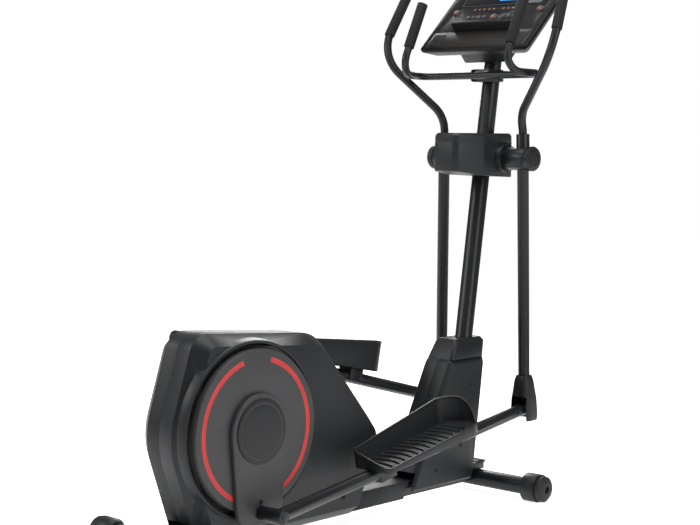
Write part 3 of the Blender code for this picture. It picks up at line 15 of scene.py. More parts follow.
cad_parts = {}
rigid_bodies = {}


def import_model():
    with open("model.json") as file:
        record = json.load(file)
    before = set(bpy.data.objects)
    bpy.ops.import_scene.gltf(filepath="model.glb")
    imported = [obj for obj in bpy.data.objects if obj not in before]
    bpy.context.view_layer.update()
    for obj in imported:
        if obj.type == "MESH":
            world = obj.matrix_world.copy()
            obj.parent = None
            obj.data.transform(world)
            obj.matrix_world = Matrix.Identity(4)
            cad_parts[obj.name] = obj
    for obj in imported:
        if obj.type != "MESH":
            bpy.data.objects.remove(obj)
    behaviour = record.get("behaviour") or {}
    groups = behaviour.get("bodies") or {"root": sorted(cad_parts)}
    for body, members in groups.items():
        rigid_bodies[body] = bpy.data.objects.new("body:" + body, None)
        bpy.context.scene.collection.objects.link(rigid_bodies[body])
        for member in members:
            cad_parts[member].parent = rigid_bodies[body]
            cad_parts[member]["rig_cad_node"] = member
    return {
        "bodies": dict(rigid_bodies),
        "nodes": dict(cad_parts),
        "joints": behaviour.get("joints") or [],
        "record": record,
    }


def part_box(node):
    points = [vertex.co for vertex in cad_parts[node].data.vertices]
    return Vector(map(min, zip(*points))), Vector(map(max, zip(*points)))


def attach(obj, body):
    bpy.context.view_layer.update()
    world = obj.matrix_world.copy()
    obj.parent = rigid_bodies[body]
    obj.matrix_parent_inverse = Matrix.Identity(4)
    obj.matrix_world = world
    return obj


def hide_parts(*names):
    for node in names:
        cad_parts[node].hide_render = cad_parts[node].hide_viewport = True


for old in list(bpy.data.objects):
    bpy.data.objects.remove(old, do_unlink=True)

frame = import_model()
FINE = 3  # how many times finer round shapes are than in the part
RECORD = frame["record"]
BODY_OF = {node: body for body, nodes in RECORD["behaviour"]["bodies"].items() for node in nodes}
SLOT_OF = {entry["node"]: entry["material_slot"] for entry in RECORD["subparts"]}
SHOWN = []  # (object, node or None, body, slot, bevel)

# Clearances
GAP = 0.0003  # between pieces that touch
RUN = 0.0010  # beside a piece that turns
BORE = 0.0003  # radial, round a shaft

# Linkage: crank, pedal arm and swing arm form a four-bar loop on each side
CRANK_Z = 0.3558
CRANK_RADIUS = 0.2286
PIVOT_Y = 1.155
PIVOT_Z = 1.105
SWING_LENGTH = 0.825  # cross axle to lower pivot
PEDAL_ARM_LENGTH = 1.195  # crank pin to lower pivot
ARM_X = 0.165  # plane of the swing arms
PIN_X = 0.204  # plane of the pedal arms at the crank

# Stabilizers, rail and mast
REAR_STABILIZER_Y = -0.212
FRONT_STABILIZER_Y = 1.108
STABILIZER_REACH = 0.293  # centre plane to the outer end of the fixed end cap
STABILIZER_Z = 0.043
STABILIZER_RADIUS = 0.028
TUBE_WALL = 0.0025
RAIL_HALF_WIDTH = 0.038
RAIL_LOW = 0.038
RAIL_TOP = 0.082
MAST_RADIUS = 0.0285
MAST_LEAN = math.radians(8.5)
FRONT_CAP_RADIUS = 0.0460
REAR_CAP_RADIUS = 0.040
CAP_BEVEL = 0.013
CAP_CLEARANCE = 0.0008
WHEEL_RADIUS = 0.0415
WHEEL_WIDTH = 0.024
LEVELLER_RADIUS = 0.040
LEVELLER_THROW = 0.003  # how far the levelling cap's axis is off its centre
BOLT_RADIUS = 0.006
BOLT_HEAD_RADIUS = 0.0095
BOLT_HEAD_HEIGHT = 0.0035
TUBE_SHORT = 0.007  # how far the tube stops before the end cap's outer end
HAIR = 1e-6  # the inset of a shell's outer skin

# Shroud
SKIN = 0.003
SHROUD_OUTLINE = (
    (-0.172, 0.635), (-0.267, 0.345), (-0.155, 0.033), (0.470, 0.033), (0.503, 0.105), (0.572, 0.282),
    (0.298, 0.599),
)
SHROUD_RADII = (0.064, 0.220, 0.020, 0.020, 0.030, 0.075, 0.130)
SHROUD_RIM_X = 0.050
SHROUD_FACE_X = 0.095
SHROUD_BEVEL = 0.032
SHROUD_HUB_HOLE = 0.035
WELL_CLEARANCE = 0.0135  # round the crank disc
WELL_RIM = 0.013
WELL_RIM_X = 0.103

# Crank
DISC_RADII = {1: 0.2295, -1: 0.1760}  # right and left
DISC_FACE_X = 0.121
DISC_DEPTH = 0.020
DISC_SKIN = 0.004
CRANK_ARM_THICKNESS = 0.010
CRANK_COVER_RADIUS = 0.106
CRANK_COVER_TIP_HALF_WIDTH = 0.083
CRANK_COVER_TIP_REACH = {1: 0.036, -1: 0.024}  # past the pin, right and left
CRANK_COVER_SKIN = 0.0025
CRANK_CAP_RADIUS = 0.0916
CRANK_CAP_HEIGHT = 0.005
AXLE_RADIUS = 0.010

# Covers of the rail and the mast
RAIL_COVER_SKIN = 0.0025
RAIL_COVER_CLEARANCE = 0.0035
MAST_COVER_HALF_WIDTH = 0.060
MAST_COVER_BEVEL = 0.014
MAST_COVER_OUTLINE = ((0.728, 0.045), (1.056, 0.045), (1.070, 0.120), (1.114, 0.452), (0.935, 0.452))
MAST_COVER_CAP_TOP = 0.516
MAST_COVER_CAP_REAR = 0.968
MAST_COVER_CAP_FRONT = 1.124

# Pivot housing and tray
PIVOT_AXLE_RADIUS = 0.016
HUB_RADIUS = 0.0385
HUB_INNER_X = 0.104
HUB_OUTER_X = 0.188
HOUSING_FLANGE_RADIUS = 0.046
HOUSING_OUTLINE = ((0.048, 0.953), (0.080, 1.060), (0.083, 1.200), (0.055, 1.240))
HOUSING_LOW = 1.043
HOUSING_TOP = 1.158
TRAY_TOP = 1.187
TRAY_FLOOR = 1.168
PIVOT_CAP_RADIUS = 0.0405
PIVOT_CAP_THICKNESS = 0.022

# Swing arm, handle and grip
ARM_RADIUS = 0.019
COLLAR_RADIUS = 0.0215
COLLAR_TOP = 0.080  # above the cross axle
HANDLE_RADIUS = 0.0135
HANDLE_BENDS = ((0.164, -0.010, 0.142), (0.3606, -0.112, 0.342))
HANDLE_TOP = (0.327, 0.033, 0.616)
HANDLE_BEND_RADII = (0.100, 0.135)
GRIP_RADIUS = 0.0173
GRIP_LENGTH = 0.233
FORK_HALF_GAP = 0.0200
FORK_PLATE = 0.0045
EYE_RADIUS = 0.021
CLEVIS_BOLT_RADIUS = 0.006
CLEVIS_COVER_SKIN = 0.0025

# Pedal arm and pedal
PEDAL_ARM_RADIUS = 0.0194
PEDAL_HUB_RADIUS = 0.0215
PEDAL_HUB_HALF = 0.022
PEDAL_X = 0.205
PEDAL_FROM_PIN = 0.618
PEDAL_LENGTH = 0.458
PEDAL_WIDTH = 0.145
PEDAL_RISE = 0.036  # pedal floor above the arm's axis
PEDAL_TILT = math.radians(3.9)
PEDAL_WALL = 0.005
PEDAL_SKIRT = 0.0145
PEDAL_RIM = 0.0125
PEDAL_INNER_WALL = 0.083
PEDAL_CORNER = 0.020
PEDAL_TOE = 0.066

# Fixed handlebar
BAR_RADIUS = 0.0125
BAR_CORNERS = ((0.258, 1.135, 1.377), (0.210, 0.975, 1.383))
BAR_END = (0.209, 1.084, 1.615)
BAR_RADII = (0.035, 0.050)
BAR_GRIP_RADIUS = 0.0175
BAR_GRIP_LENGTH = 0.160
CLAMP_HALF_WIDTH = 0.034
CLAMP_HALF_HEIGHT = 0.021

# Console, laid out on its sloping face
CONSOLE_Y = 1.085
CONSOLE_Z = 1.463
MAST_TOP = CONSOLE_Z + 0.037  # inside the console's neck
CONSOLE_TILT = math.radians(43.7)
CONSOLE_HALF_WIDTH = 0.222
CONSOLE_LENGTH = 0.335
CONSOLE_DEPTH = 0.045
FACE_THICKNESS = 0.010
LENS_HALF_WIDTH = 0.160
LENS_LOW = 0.222
LENS_HIGH = 0.318
LENS_THICKNESS = 0.0025
KEY_RADIUS = 0.0135
KEY_X = 0.174
KEY_S = 0.190
START_KEY_S = KEY_S - 0.030
KEY_PROUD = 0.0015
KEY_CLEARANCE = 0.0006
LEDGE_HALF_WIDTH = 0.125
LEDGE_S = 0.092
LEDGE_PROUD = 0.030
LEDGE_THICKNESS = 0.008
NECK_HALF_WIDTH = 0.098
NECK_BOTTOM = 0.028
NECK_TOP = 0.165
NECK_DEPTH = 0.085

SMOOTH_ANGLE = math.radians(35)

# Trim
RING_MIDDLE = 0.0285  # the red band's middle, in from the disc's edge
RING_HALF = 0.0065
SHROUD_SCREWS = ((0.0755, -0.238, 0.345), (0.0800, 0.372, 0.455), (0.0955, 0.385, 0.100))

MAST_COVER_SCREWS = ((1.035, 0.365), (0.985, 0.170), (0.860, 0.105))
RIB_COUNT = 13
RIB_STEPS = 18
RIB_SECTION = (
    (-0.0040, 0.0040), (-0.0040, 0.0072), (-0.0016, 0.0094), (0.0016, 0.0094), (0.0040, 0.0072),
    (0.0040, 0.0040),
)
DUST = (0.45, 0.44, 0.42, 1)

# Studio
PAPER_RADIUS = 14.0
PAPER_GLOW = 0.80

# Camera
CAMERA_PLACE = (3.2602, -3.5889, 1.1756)
CAMERA_TARGET = (0.0, -0.0308, 0.7905)
CAMERA_ROLL = 0.516
CAMERA_LENS = 81.9


# ---------------------------------------------------------------- scene and shape helpers


def circle(radius, sides, phase=0.0):
    sides *= FINE
    turns = [math.tau * (i + phase) / sides for i in range(sides)]
    return [(radius * math.cos(turn), radius * math.sin(turn)) for turn in turns]


def corner_arc(before, corner, after, radius, steps):
    """Points of the arc that rounds a corner."""
    steps *= FINE
    back = (before - corner).normalized()
    ahead = (after - corner).normalized()
    half = back.angle(ahead) / 2
    reach = radius / math.tan(half)
    centre = corner + (back + ahead).normalized() * radius / math.sin(half)
    first = (corner + back * reach - centre).normalized()
    last = (corner + ahead * reach - centre).normalized()
    return [centre + first.slerp(last, i / steps) * radius for i in range(steps + 1)]


BEVELS = {
    "shroud": 0.0020, "pedal": 0.0014, "grip": 0.0030, "pulse": 0.0030, "console": 0.0014,
    "mast": 0.0014,
}


def paint(obj):
    """Shows the object in place of the part's node of the same name."""
    node = obj.name.split(".")[0]
    bevel = BEVELS.get(node.split("_")[0], 0.0009)
    SHOWN.append((obj, node, BODY_OF[node], SLOT_OF[node], bevel))
    return obj


def empty(name, parent, location, tilt=0.0):
    obj = bpy.data.objects.new(name, None)
    bpy.context.scene.collection.objects.link(obj)
    obj.parent = parent
    obj.location = location
    obj.rotation_euler.x = tilt
    return obj


def mesh_object(name, rings, parent, ends="capped"):
    """One closed body through the rings. Its ends are capped, or the last ring joins the first."""
    bm = bmesh.new()
    loops = [[bm.verts.new(point) for point in ring] for ring in rings]
    pairs = list(zip(loops, loops[1:]))
    if ends == "joined":
        pairs.append((loops[-1], loops[0]))
    for low, high in pairs:
        for i in range(len(low)):
            j = (i + 1) % len(low)
            bm.faces.new((low[i], low[j], high[j], high[i]))
    if ends == "capped":
        bm.faces.new(loops[0][::-1])
        bm.faces.new(loops[-1])
    wide = [face for face in bm.faces if len(face.verts) > 4]
    bmesh.ops.triangulate(bm, faces=wide)
    bmesh.ops.recalc_face_normals(bm, faces=bm.faces)
    if bm.calc_volume(signed=True) < 0:
        bmesh.ops.reverse_faces(bm, faces=bm.faces)
    mesh = bpy.data.meshes.new(name)
    bm.to_mesh(mesh)
    bm.free()
    mesh.shade_smooth()
    mesh.set_sharp_from_angle(angle=SMOOTH_ANGLE)
    obj = bpy.data.objects.new(name, mesh)
    bpy.context.scene.collection.objects.link(obj)
    obj.parent = parent
    return obj


def apply_boolean(obj, tools, operation):
    """Adds each tool to the object, or cuts it away, and keeps the tool as a hidden helper."""
    for tool in tools:
        tool.hide_render = True
        tool.display_type = "WIRE"
        tool.hide_set(True)
        modifier = obj.modifiers.new(tool.name, "BOOLEAN")
        modifier.operation = operation
        modifier.object = tool
        modifier.solver = "EXACT"
    return obj


def join(obj, *tools):
    return apply_boolean(obj, tools, "UNION")


def cut(obj, *tools):
    return apply_boolean(obj, tools, "DIFFERENCE")


def bent_path(points, radii, steps):
    """An open path with its inner corners rounded."""
    points = [Vector(point) for point in points]
    path = [points[0]]
    for before, corner, after, radius in zip(points, points[1:], points[2:], radii):
        path += corner_arc(before, corner, after, radius, steps)
    return path + [points[-1]]


def rounded(polygon, radii, steps=2):
    """A closed plane outline with its corners rounded."""
    points = [Vector((a, b, 0)) for a, b in polygon]
    outline = []
    for i, corner in enumerate(points):
        outline += corner_arc(points[i - 1], corner, points[(i + 1) % len(points)], radii[i], steps)
    return [(point.x, point.y) for point in outline]


def inset(polygon, distance):
    """The polygon with every side moved inwards."""
    points = [Vector(point) for point in polygon]
    area = sum(a.cross(b) for a, b in zip(points, points[1:] + points[:1]))
    inward = math.copysign(1, area)
    moved = []
    for i, corner in enumerate(points):
        back = (corner - points[i - 1]).normalized()
        ahead = (points[(i + 1) % len(points)] - corner).normalized()
        bisector = (ahead - back).normalized()
        sine = abs(back.cross(bisector))
        turn = math.copysign(1, back.cross(ahead)) * inward
        moved.append(corner + bisector * turn * distance / sine)
    return [tuple(point) for point in moved]


def smaller(radii, distance):
    return [max(radius - distance, 0.3 * radius) for radius in radii]


def box_outline(low_a, high_a, low_b, high_b):
    return [(low_a, low_b), (high_a, low_b), (high_a, high_b), (low_a, high_b)]


def x_ring(x, outline):
    return [(x, y, z) for y, z in outline]


def z_ring(z, outline):
    return [(x, y, z) for x, y in outline]


def lathe_rings(profile, sides, side=1, centre=(0.0, 0.0), floor=None):
    """Rings about an axis along X. A profile point is (x, radius) or (x, radius, rise)."""
    rings = []
    for x, radius, *rise in profile:
        ring = []
        for a, b in circle(radius, sides):
            height = b + sum(rise)
            if floor is not None:
                height = max(height, floor)
            ring.append((side * x, centre[0] + a, centre[1] + height))
        rings.append(ring)
    return rings


def lathe(name, profile, parent, sides=20, ends="capped", **placing):
    return mesh_object(name, lathe_rings(profile, sides, **placing), parent, ends)


def rod(name, x_low, x_high, radius, parent, centre=(0.0, 0.0), sides=12):
    """A solid cylinder along X."""
    return lathe(name, ((x_low, radius), (x_high, radius)), parent, sides, centre=centre)


def upright(name, profile, x, parent, sides=12):
    """A turned shape about a vertical line. A profile point is (z, radius)."""
    rings = [[(x + a, b, z) for a, b in circle(radius, sides, 0.5)] for z, radius in profile]
    return mesh_object(name, rings, parent)


def swept_rings(path, radius, sides):
    """Round rings along a path, carried without twist."""
    path = [Vector(point) for point in path]
    tangents = [(b - a).normalized() for a, b in zip(path, path[1:])]
    tangents.append(tangents[-1])
    across = Vector((0, 0, 1)) if abs(tangents[0].x) > 0.9 else Vector((1, 0, 0))
    rings = []
    for i, point in enumerate(path):
        tangent = (tangents[max(i - 1, 0)] + tangents[i]).normalized()
        across = (across - tangent * across.dot(tangent)).normalized()
        other = tangent.cross(across)
        rings.append([point + across * a + other * b for a, b in circle(radius, sides, 0.5)])
    return rings


def pipe(name, path, radius, wall, parent, sides=12):
    """A hollow tube along a path, open at both ends."""
    outer = swept_rings(path, radius, sides)
    inner = swept_rings(path, radius - wall, sides)
    return mesh_object(name, outer + inner[::-1], parent, "joined")


def bar(name, path, radius, parent, sides=12):
    return mesh_object(name, swept_rings(path, radius, sides), parent)


def sleeve(name, path, radius, bore, end_wall, parent, sides=12):
    """A tube along a path, closed at its far end."""
    path = [Vector(point) for point in path]
    stop = path[-1] - (path[-1] - path[-2]).normalized() * end_wall
    inner = swept_rings(path[:-1] + [stop], bore / math.cos(math.pi / sides), sides)
    outer = swept_rings(path, radius, sides)
    return mesh_object(name, inner[::-1] + outer, parent)


def last_stretch(path, length):
    """The end of a path, with the given length."""
    path = [Vector(point) for point in path]
    kept = [path[-1]]
    for point in path[-2::-1]:
        step = kept[0] - point
        if step.length >= length:
            kept.insert(0, kept[0] - step.normalized() * length)
            return kept
        length -= step.length
        kept.insert(0, point)
    return kept


def first_stretch(path, length):
    return last_stretch(path[::-1], length)[::-1]


def path_length(path):
    return sum((Vector(b) - Vector(a)).length for a, b in zip(path, path[1:]))


def block(name, low, high, parent):
    outline = box_outline(low[1], high[1], low[2], high[2])
    return mesh_object(name, [x_ring(low[0], outline), x_ring(high[0], outline)], parent)


def plate(name, outline, x_low, x_high, parent):
    """An outline in Y and Z, extruded along X."""
    return mesh_object(name, [x_ring(x_low, outline), x_ring(x_high, outline)], parent)


def sided(side, *points):
    """The same points for the right side (1) or mirrored for the left (-1)."""
    return [(side * x, y, z) for x, y, z in points]


def side_name(base, side):
    return f"{base}_{'right' if side > 0 else 'left'}"


# ---------------------------------------------------------------- linkage geometry


def lower_pivot(pin_z):
    """Where the pedal arm and the swing arm meet, for a crank pin straight above or below the axle."""
    pin = Vector((0.0, pin_z))
    pivot = Vector((PIVOT_Y, PIVOT_Z))
    span = pivot - pin
    along = (PEDAL_ARM_LENGTH**2 - SWING_LENGTH**2 + span.length**2) / (2 * span.length)
    off = math.sqrt(PEDAL_ARM_LENGTH**2 - along**2)
    direction = span.normalized()
    return pin + direction * along + Vector((direction.y, -direction.x)) * off


def swing_rest(side):
    """The swing arm's angle, positive with its lower end forward."""
    joint = lower_pivot(CRANK_Z - side * CRANK_RADIUS)
    return math.atan2(joint.x - PIVOT_Y, PIVOT_Z - joint.y)


def pedal_arm_rest(side):
    """The pedal arm's pitch, positive with its front end high."""
    pin_z = CRANK_Z - side * CRANK_RADIUS
    joint = lower_pivot(pin_z)
    return math.atan2(joint.y - pin_z, joint.x)


def mast_y(z):
    return PIVOT_Y + (z - PIVOT_Z) * math.tan(MAST_LEAN)


# ---------------------------------------------------------------- frame


def stabilizer(name, y, parent):
    end = STABILIZER_REACH - TUBE_SHORT
    path = ((-end, y, STABILIZER_Z), (end, y, STABILIZER_Z))
    paint(pipe(name, path, STABILIZER_RADIUS, TUBE_WALL, parent, 16))


def bolt_head_x():
    """Where the shank of an end cap's bolt meets its head."""
    return STABILIZER_REACH + WHEEL_WIDTH - 0.0095


def end_cap(name, side, y, radius, parent):
    """A sleeve over the tube's end, with the bolt that carries the wheel or the levelling cap."""
    start = STABILIZER_REACH - 0.064
    bore = STABILIZER_RADIUS + CAP_CLEARANCE
    head = bolt_head_x()
    profile = (
        (STABILIZER_REACH - TUBE_SHORT + GAP, bore), (start, bore), (start, STABILIZER_RADIUS + 0.003),
        (start + CAP_BEVEL, radius), (STABILIZER_REACH, radius), (STABILIZER_REACH, BOLT_RADIUS),
        (head, BOLT_RADIUS), (head, BOLT_HEAD_RADIUS), (head + BOLT_HEAD_HEIGHT, BOLT_HEAD_RADIUS),
    )
    placing = {"side": side, "centre": (y, STABILIZER_Z), "floor": -STABILIZER_Z}
    paint(lathe(name, profile, parent, **placing))


def wheel_profile(radius, drop=0.0):
    """Half section of a wheel on the end cap's bolt, with a recess for the bolt's head."""
    inner = STABILIZER_REACH + RUN
    outer = STABILIZER_REACH + WHEEL_WIDTH + RUN
    recess = bolt_head_x() - RUN / 2
    bore = BOLT_RADIUS + BORE + 0.0002
    return (
        (inner, bore), (inner, radius, -drop), (outer - 0.009, radius, -drop),
        (outer - 0.002, radius - 0.008, -drop), (outer, BOLT_HEAD_RADIUS + 0.006),
        (outer, BOLT_HEAD_RADIUS + 0.002), (recess, BOLT_HEAD_RADIUS + 0.002), (recess, bore),
    )


def end_wheel(name, side, y, radius, drop, assembly):
    axis = empty(name + "_axis", assembly, (0, y, STABILIZER_Z))
    profile = wheel_profile(radius, drop)
    paint(lathe(name, profile, axis, ends="joined", side=side))


def main_rail(parent):
    low = REAR_STABILIZER_Y + STABILIZER_RADIUS + GAP
    high = FRONT_STABILIZER_Y - STABILIZER_RADIUS - GAP
    outer = box_outline(-RAIL_HALF_WIDTH, RAIL_HALF_WIDTH, RAIL_LOW, RAIL_TOP)
    inner = inset(outer, TUBE_WALL)
    rings = [
        [(x, low, z) for x, z in outer], [(x, high, z) for x, z in outer],
        [(x, high, z) for x, z in inner], [(x, low, z) for x, z in inner],
    ]
    rail = mesh_object("main_rail", rings, parent, "joined")
    saddle_low = STABILIZER_Z + STABILIZER_RADIUS + GAP
    saddles = []
    for label, y, reach in (("rear", REAR_STABILIZER_Y, 1), ("front", FRONT_STABILIZER_Y, -1)):
        near, far = sorted((y - reach * 0.020, y + reach * 0.063))
        saddles.append(
            block(
                "saddle_" + label, (-0.046, near, saddle_low), (0.046, far, saddle_low + 0.023), parent,
            )
        )
    # The front lip, a step above the saddle's front half
    lip_low = saddle_low + 0.018
    lip = block(
        "saddle_lip", (-0.040, FRONT_STABILIZER_Y - 0.010, lip_low),
        (0.040, FRONT_STABILIZER_Y + 0.036, lip_low + 0.008), parent,
    )
    paint(join(rail, *saddles, lip))


def mast(parent):
    plate_low = RAIL_TOP + GAP
    foot = plate_low + 0.006
    path = ((0, mast_y(foot), foot), (0, mast_y(MAST_TOP), MAST_TOP))
    tube = pipe("mast", path, MAST_RADIUS, TUBE_WALL, parent, 16)
    middle = mast_y(foot)
    base = block(
        "mast_base", (-0.045, middle - 0.075, plate_low), (0.045, middle + 0.034, plate_low + 0.011),
        parent,
    )
    axle_hole = rod(
        "mast_axle_hole", -0.05, 0.05, PIVOT_AXLE_RADIUS + BORE, parent, (PIVOT_Y, PIVOT_Z), 20,
    )
    join(tube, base)
    paint(cut(tube, axle_hole))


# ---------------------------------------------------------------- covers


def shroud_half(side, parent):
    """A thin shell, open at the middle seam, with a raised rim round the crank disc."""

    def rings(offset):
        rim = rounded(inset(SHROUD_OUTLINE, offset), smaller(SHROUD_RADII, offset))
        face_inset = SHROUD_BEVEL + offset
        face = rounded(inset(SHROUD_OUTLINE, face_inset), smaller(SHROUD_RADII, face_inset))
        seam_x = side * GAP / 2
        return [
            x_ring(seam_x, rim), x_ring(side * (SHROUD_RIM_X - offset / 2), rim),
            x_ring(side * (SHROUD_FACE_X - offset), face),
        ]

    outer = rings(HAIR)
    inner = rings(SKIN)
    shell = mesh_object(side_name("shroud", side), inner[::-1] + outer, parent)
    well = DISC_RADII[side] + WELL_CLEARANCE
    rim_profile = (
        (SHROUD_FACE_X - 0.020, well), (SHROUD_FACE_X - 0.020, well + WELL_RIM),
        (WELL_RIM_X, well + WELL_RIM - 0.005), (WELL_RIM_X, well),
    )
    placing = {"side": side, "centre": (0.0, CRANK_Z), "ends": "joined"}
    rim = lathe(side_name("well_rim", side), rim_profile, parent, 36, **placing)
    reach = SHROUD_FACE_X + 0.02
    hub_hole = rod(
        side_name("shroud_hub_hole", side), side * 0.08, side * reach, SHROUD_HUB_HOLE, parent,
        (0.0, CRANK_Z),
    )
    rail_notch = block(
        side_name("shroud_rail_notch", side), (-RAIL_HALF_WIDTH - 0.012, -0.40, -0.01),
        (RAIL_HALF_WIDTH + 0.012, 0.70, RAIL_TOP + 0.026), parent,
    )
    join(shell, rim)
    paint(cut(shell, hub_hole, rail_notch))


def rail_cover(parent):
    """An inverted channel whose slanting ends follow the shroud and the mast cover."""
    toe_low, toe_high = SHROUD_OUTLINE[3], SHROUD_OUTLINE[4]
    heel_low, heel_high = MAST_COVER_OUTLINE[0], MAST_COVER_OUTLINE[4]
    low = toe_low[1]
    high = RAIL_TOP + RAIL_COVER_CLEARANCE + RAIL_COVER_SKIN

    def on_line(first, second, z):
        return first[0] + (second[0] - first[0]) * (z - first[1]) / (second[1] - first[1])

    spare = 0.004
    outline = [
        (on_line(toe_low, toe_high, low) + spare, low),
        (on_line(heel_low, heel_high, low) - spare, low),
        (on_line(heel_low, heel_high, high) - spare, high),
        (on_line(toe_low, toe_high, high) + spare, high),
    ]
    half = RAIL_HALF_WIDTH + RAIL_COVER_CLEARANCE + RAIL_COVER_SKIN
    cover = plate("rail_cover", outline, -half, half, parent)
    inner = half - RAIL_COVER_SKIN
    channel = block(
        "rail_cover_channel", (-inner, 0.3, 0.0), (inner, 0.9, RAIL_TOP + RAIL_COVER_CLEARANCE), parent,
    )
    paint(cut(cover, channel))


def mast_cover_rings(outline, side, half_width, bevel, offset):
    rim = rounded(inset(outline, offset), [0.012] * len(outline), 2)
    face = rounded(inset(outline, bevel + offset), [0.008] * len(outline), 2)
    return [
        x_ring(side * GAP / 2, rim), x_ring(side * (half_width - bevel - offset / 2), rim),
        x_ring(side * (half_width - offset), face),
    ]


def mast_cover_half(side, parent):
    outer = mast_cover_rings(MAST_COVER_OUTLINE, side, MAST_COVER_HALF_WIDTH, MAST_COVER_BEVEL, HAIR)
    inner = mast_cover_rings(MAST_COVER_OUTLINE, side, MAST_COVER_HALF_WIDTH, MAST_COVER_BEVEL, SKIN)
    shell = mesh_object(side_name("mast_cover", side), inner[::-1] + outer, parent)
    saddle_top = STABILIZER_Z + STABILIZER_RADIUS + 0.034
    notch = block(
        side_name("mast_cover_notch", side), (-0.0515, 0.60, 0.0), (0.0515, 1.20, saddle_top + 0.004),
        parent,
    )
    middle = Vector((0, mast_y(MAST_COVER_CAP_TOP), MAST_COVER_CAP_TOP))
    lean = Vector((0, math.sin(MAST_LEAN), math.cos(MAST_LEAN)))
    hole = bar(
        side_name("mast_cover_hole", side), (middle - lean * 0.15, middle), MAST_RADIUS + 0.012, parent,
        24,
    )
    paint(cut(shell, notch, hole))


def mast_cover_cap(parent):
    """The cap closes the top of both halves and tapers to the mast."""
    low = MAST_COVER_OUTLINE[4][1] + GAP
    rear, front = MAST_COVER_OUTLINE[4][0] + 0.004, MAST_COVER_OUTLINE[3][0] - 0.006
    half = MAST_COVER_HALF_WIDTH - 0.006

    def rings(offset, drop):
        base = box_outline(-half + offset, half - offset, rear + offset, front - offset)
        top = box_outline(
            -half + 0.008 + offset, half - 0.008 - offset, MAST_COVER_CAP_REAR + offset,
            MAST_COVER_CAP_FRONT - offset,
        )
        radii = [0.014] * 4
        shoulder = MAST_COVER_CAP_TOP - 0.012
        return [
            z_ring(low, rounded(base, radii)), z_ring(shoulder - drop, rounded(top, radii)),
            z_ring(MAST_COVER_CAP_TOP - drop, rounded(inset(top, 0.010), [0.008] * 4)),
        ]

    outer = rings(0.0, 0.0)
    inner = rings(SKIN, SKIN)
    shell = mesh_object("mast_cover_cap", inner[::-1] + outer, parent)
    middle = Vector((0, mast_y(low), low))
    lean = Vector((0, math.sin(MAST_LEAN), math.cos(MAST_LEAN)))
    hole = bar(
        "mast_cap_hole", (middle - lean * 0.02, middle + lean * 0.12), MAST_RADIUS + RUN, parent, 24,
    )
    paint(cut(shell, hole))


def housing_outline(offset):
    right = list(HOUSING_OUTLINE)
    whole = right + [(-x, y) for x, y in reversed(right)]
    radii = smaller([0.030, 0.045, 0.030, 0.020, 0.020, 0.030, 0.045, 0.030], offset)
    return rounded(inset(whole, offset), radii)


def pivot_housing(parent):
    """An open-topped shell round the mast and the cross axle."""

    def low_ring(offset, rise):
        ring = []
        for x, y in housing_outline(offset):
            climb = 0.021 * max(0.0, (PIVOT_Y - 0.04 - y) / 0.16)
            ring.append((x, y, HOUSING_LOW + climb + rise))
        return ring

    rings = [
        low_ring(SKIN, SKIN), z_ring(HOUSING_TOP, housing_outline(SKIN)),
        z_ring(HOUSING_TOP, housing_outline(0.0)), low_ring(0.0, 0.0),
    ]
    shell = mesh_object("pivot_housing", rings, parent)
    bosses = []
    for side in (1, -1):
        profile = ((0.074, HOUSING_FLANGE_RADIUS), (HUB_INNER_X - RUN, HOUSING_FLANGE_RADIUS))
        name = side_name("housing_boss", side)
        bosses.append(lathe(name, profile, parent, side=side, centre=(PIVOT_Y, PIVOT_Z)))
    axle_hole = rod(
        "housing_axle_hole", -0.15, 0.15, PIVOT_AXLE_RADIUS + BORE, parent, (PIVOT_Y, PIVOT_Z), 20,
    )
    join(shell, *bosses)
    paint(cut(shell, axle_hole, mast_hole("housing_mast_hole", parent)))


def mast_hole(name, parent):
    """A cutter that clears the mast through the pivot housing and the tray."""
    path = ((0, mast_y(1.0), 1.0), (0, mast_y(1.25), 1.25))
    return bar(name, path, MAST_RADIUS + RUN, parent, 24)


def accessory_tray(parent):
    """A lid with a pocket on the user's side of the mast."""
    low = HOUSING_TOP + GAP
    rings = [
        z_ring(low, housing_outline(0.0)), z_ring(TRAY_TOP - 0.008, housing_outline(0.001)),
        z_ring(TRAY_TOP, housing_outline(0.008)),
    ]
    lid = mesh_object("accessory_tray", rings, parent)
    right = [(0.048, 0.953), (0.074, 1.040), (0.074, 1.118)]
    whole = right + [(-x, y) for x, y in reversed(right)]
    pocket_outline = rounded(inset(whole, 0.013), [0.012] * 6, 3)
    pocket = mesh_object(
        "tray_pocket", [z_ring(TRAY_FLOOR, pocket_outline), z_ring(TRAY_TOP + 0.02, pocket_outline)],
        parent,
    )
    paint(cut(lid, pocket, mast_hole("tray_mast_hole", parent)))


def capsule(first, second, first_radius, second_radius, steps=18):
    """An outline round two circles joined by straight sides."""
    heading = math.atan2(second[1] - first[1], second[0] - first[0])
    outline = []
    for centre, radius, start in (
        (second, second_radius, -math.pi / 2), (first, first_radius, math.pi / 2),
    ):
        for i in range(steps + 1):
            turn = heading + start + math.pi * i / steps
            outline.append((centre[0] + radius * math.cos(turn), centre[1] + radius * math.sin(turn)))
    return outline


# ---------------------------------------------------------------- crank


def crank_disc(side, crank):
    back = DISC_FACE_X - DISC_DEPTH
    plate_back = DISC_FACE_X - DISC_SKIN
    bore = AXLE_RADIUS + GAP
    radius = DISC_RADII[side]
    profile = (
        (back, bore), (back, 0.030), (plate_back, 0.030), (plate_back, radius - DISC_SKIN),
        (back, radius - DISC_SKIN), (back, radius), (DISC_FACE_X, radius - 0.002), (DISC_FACE_X, bore),
    )
    disc = lathe(side_name("crank_disc", side), profile, crank, 36, "joined", side=side)
    paint(disc)


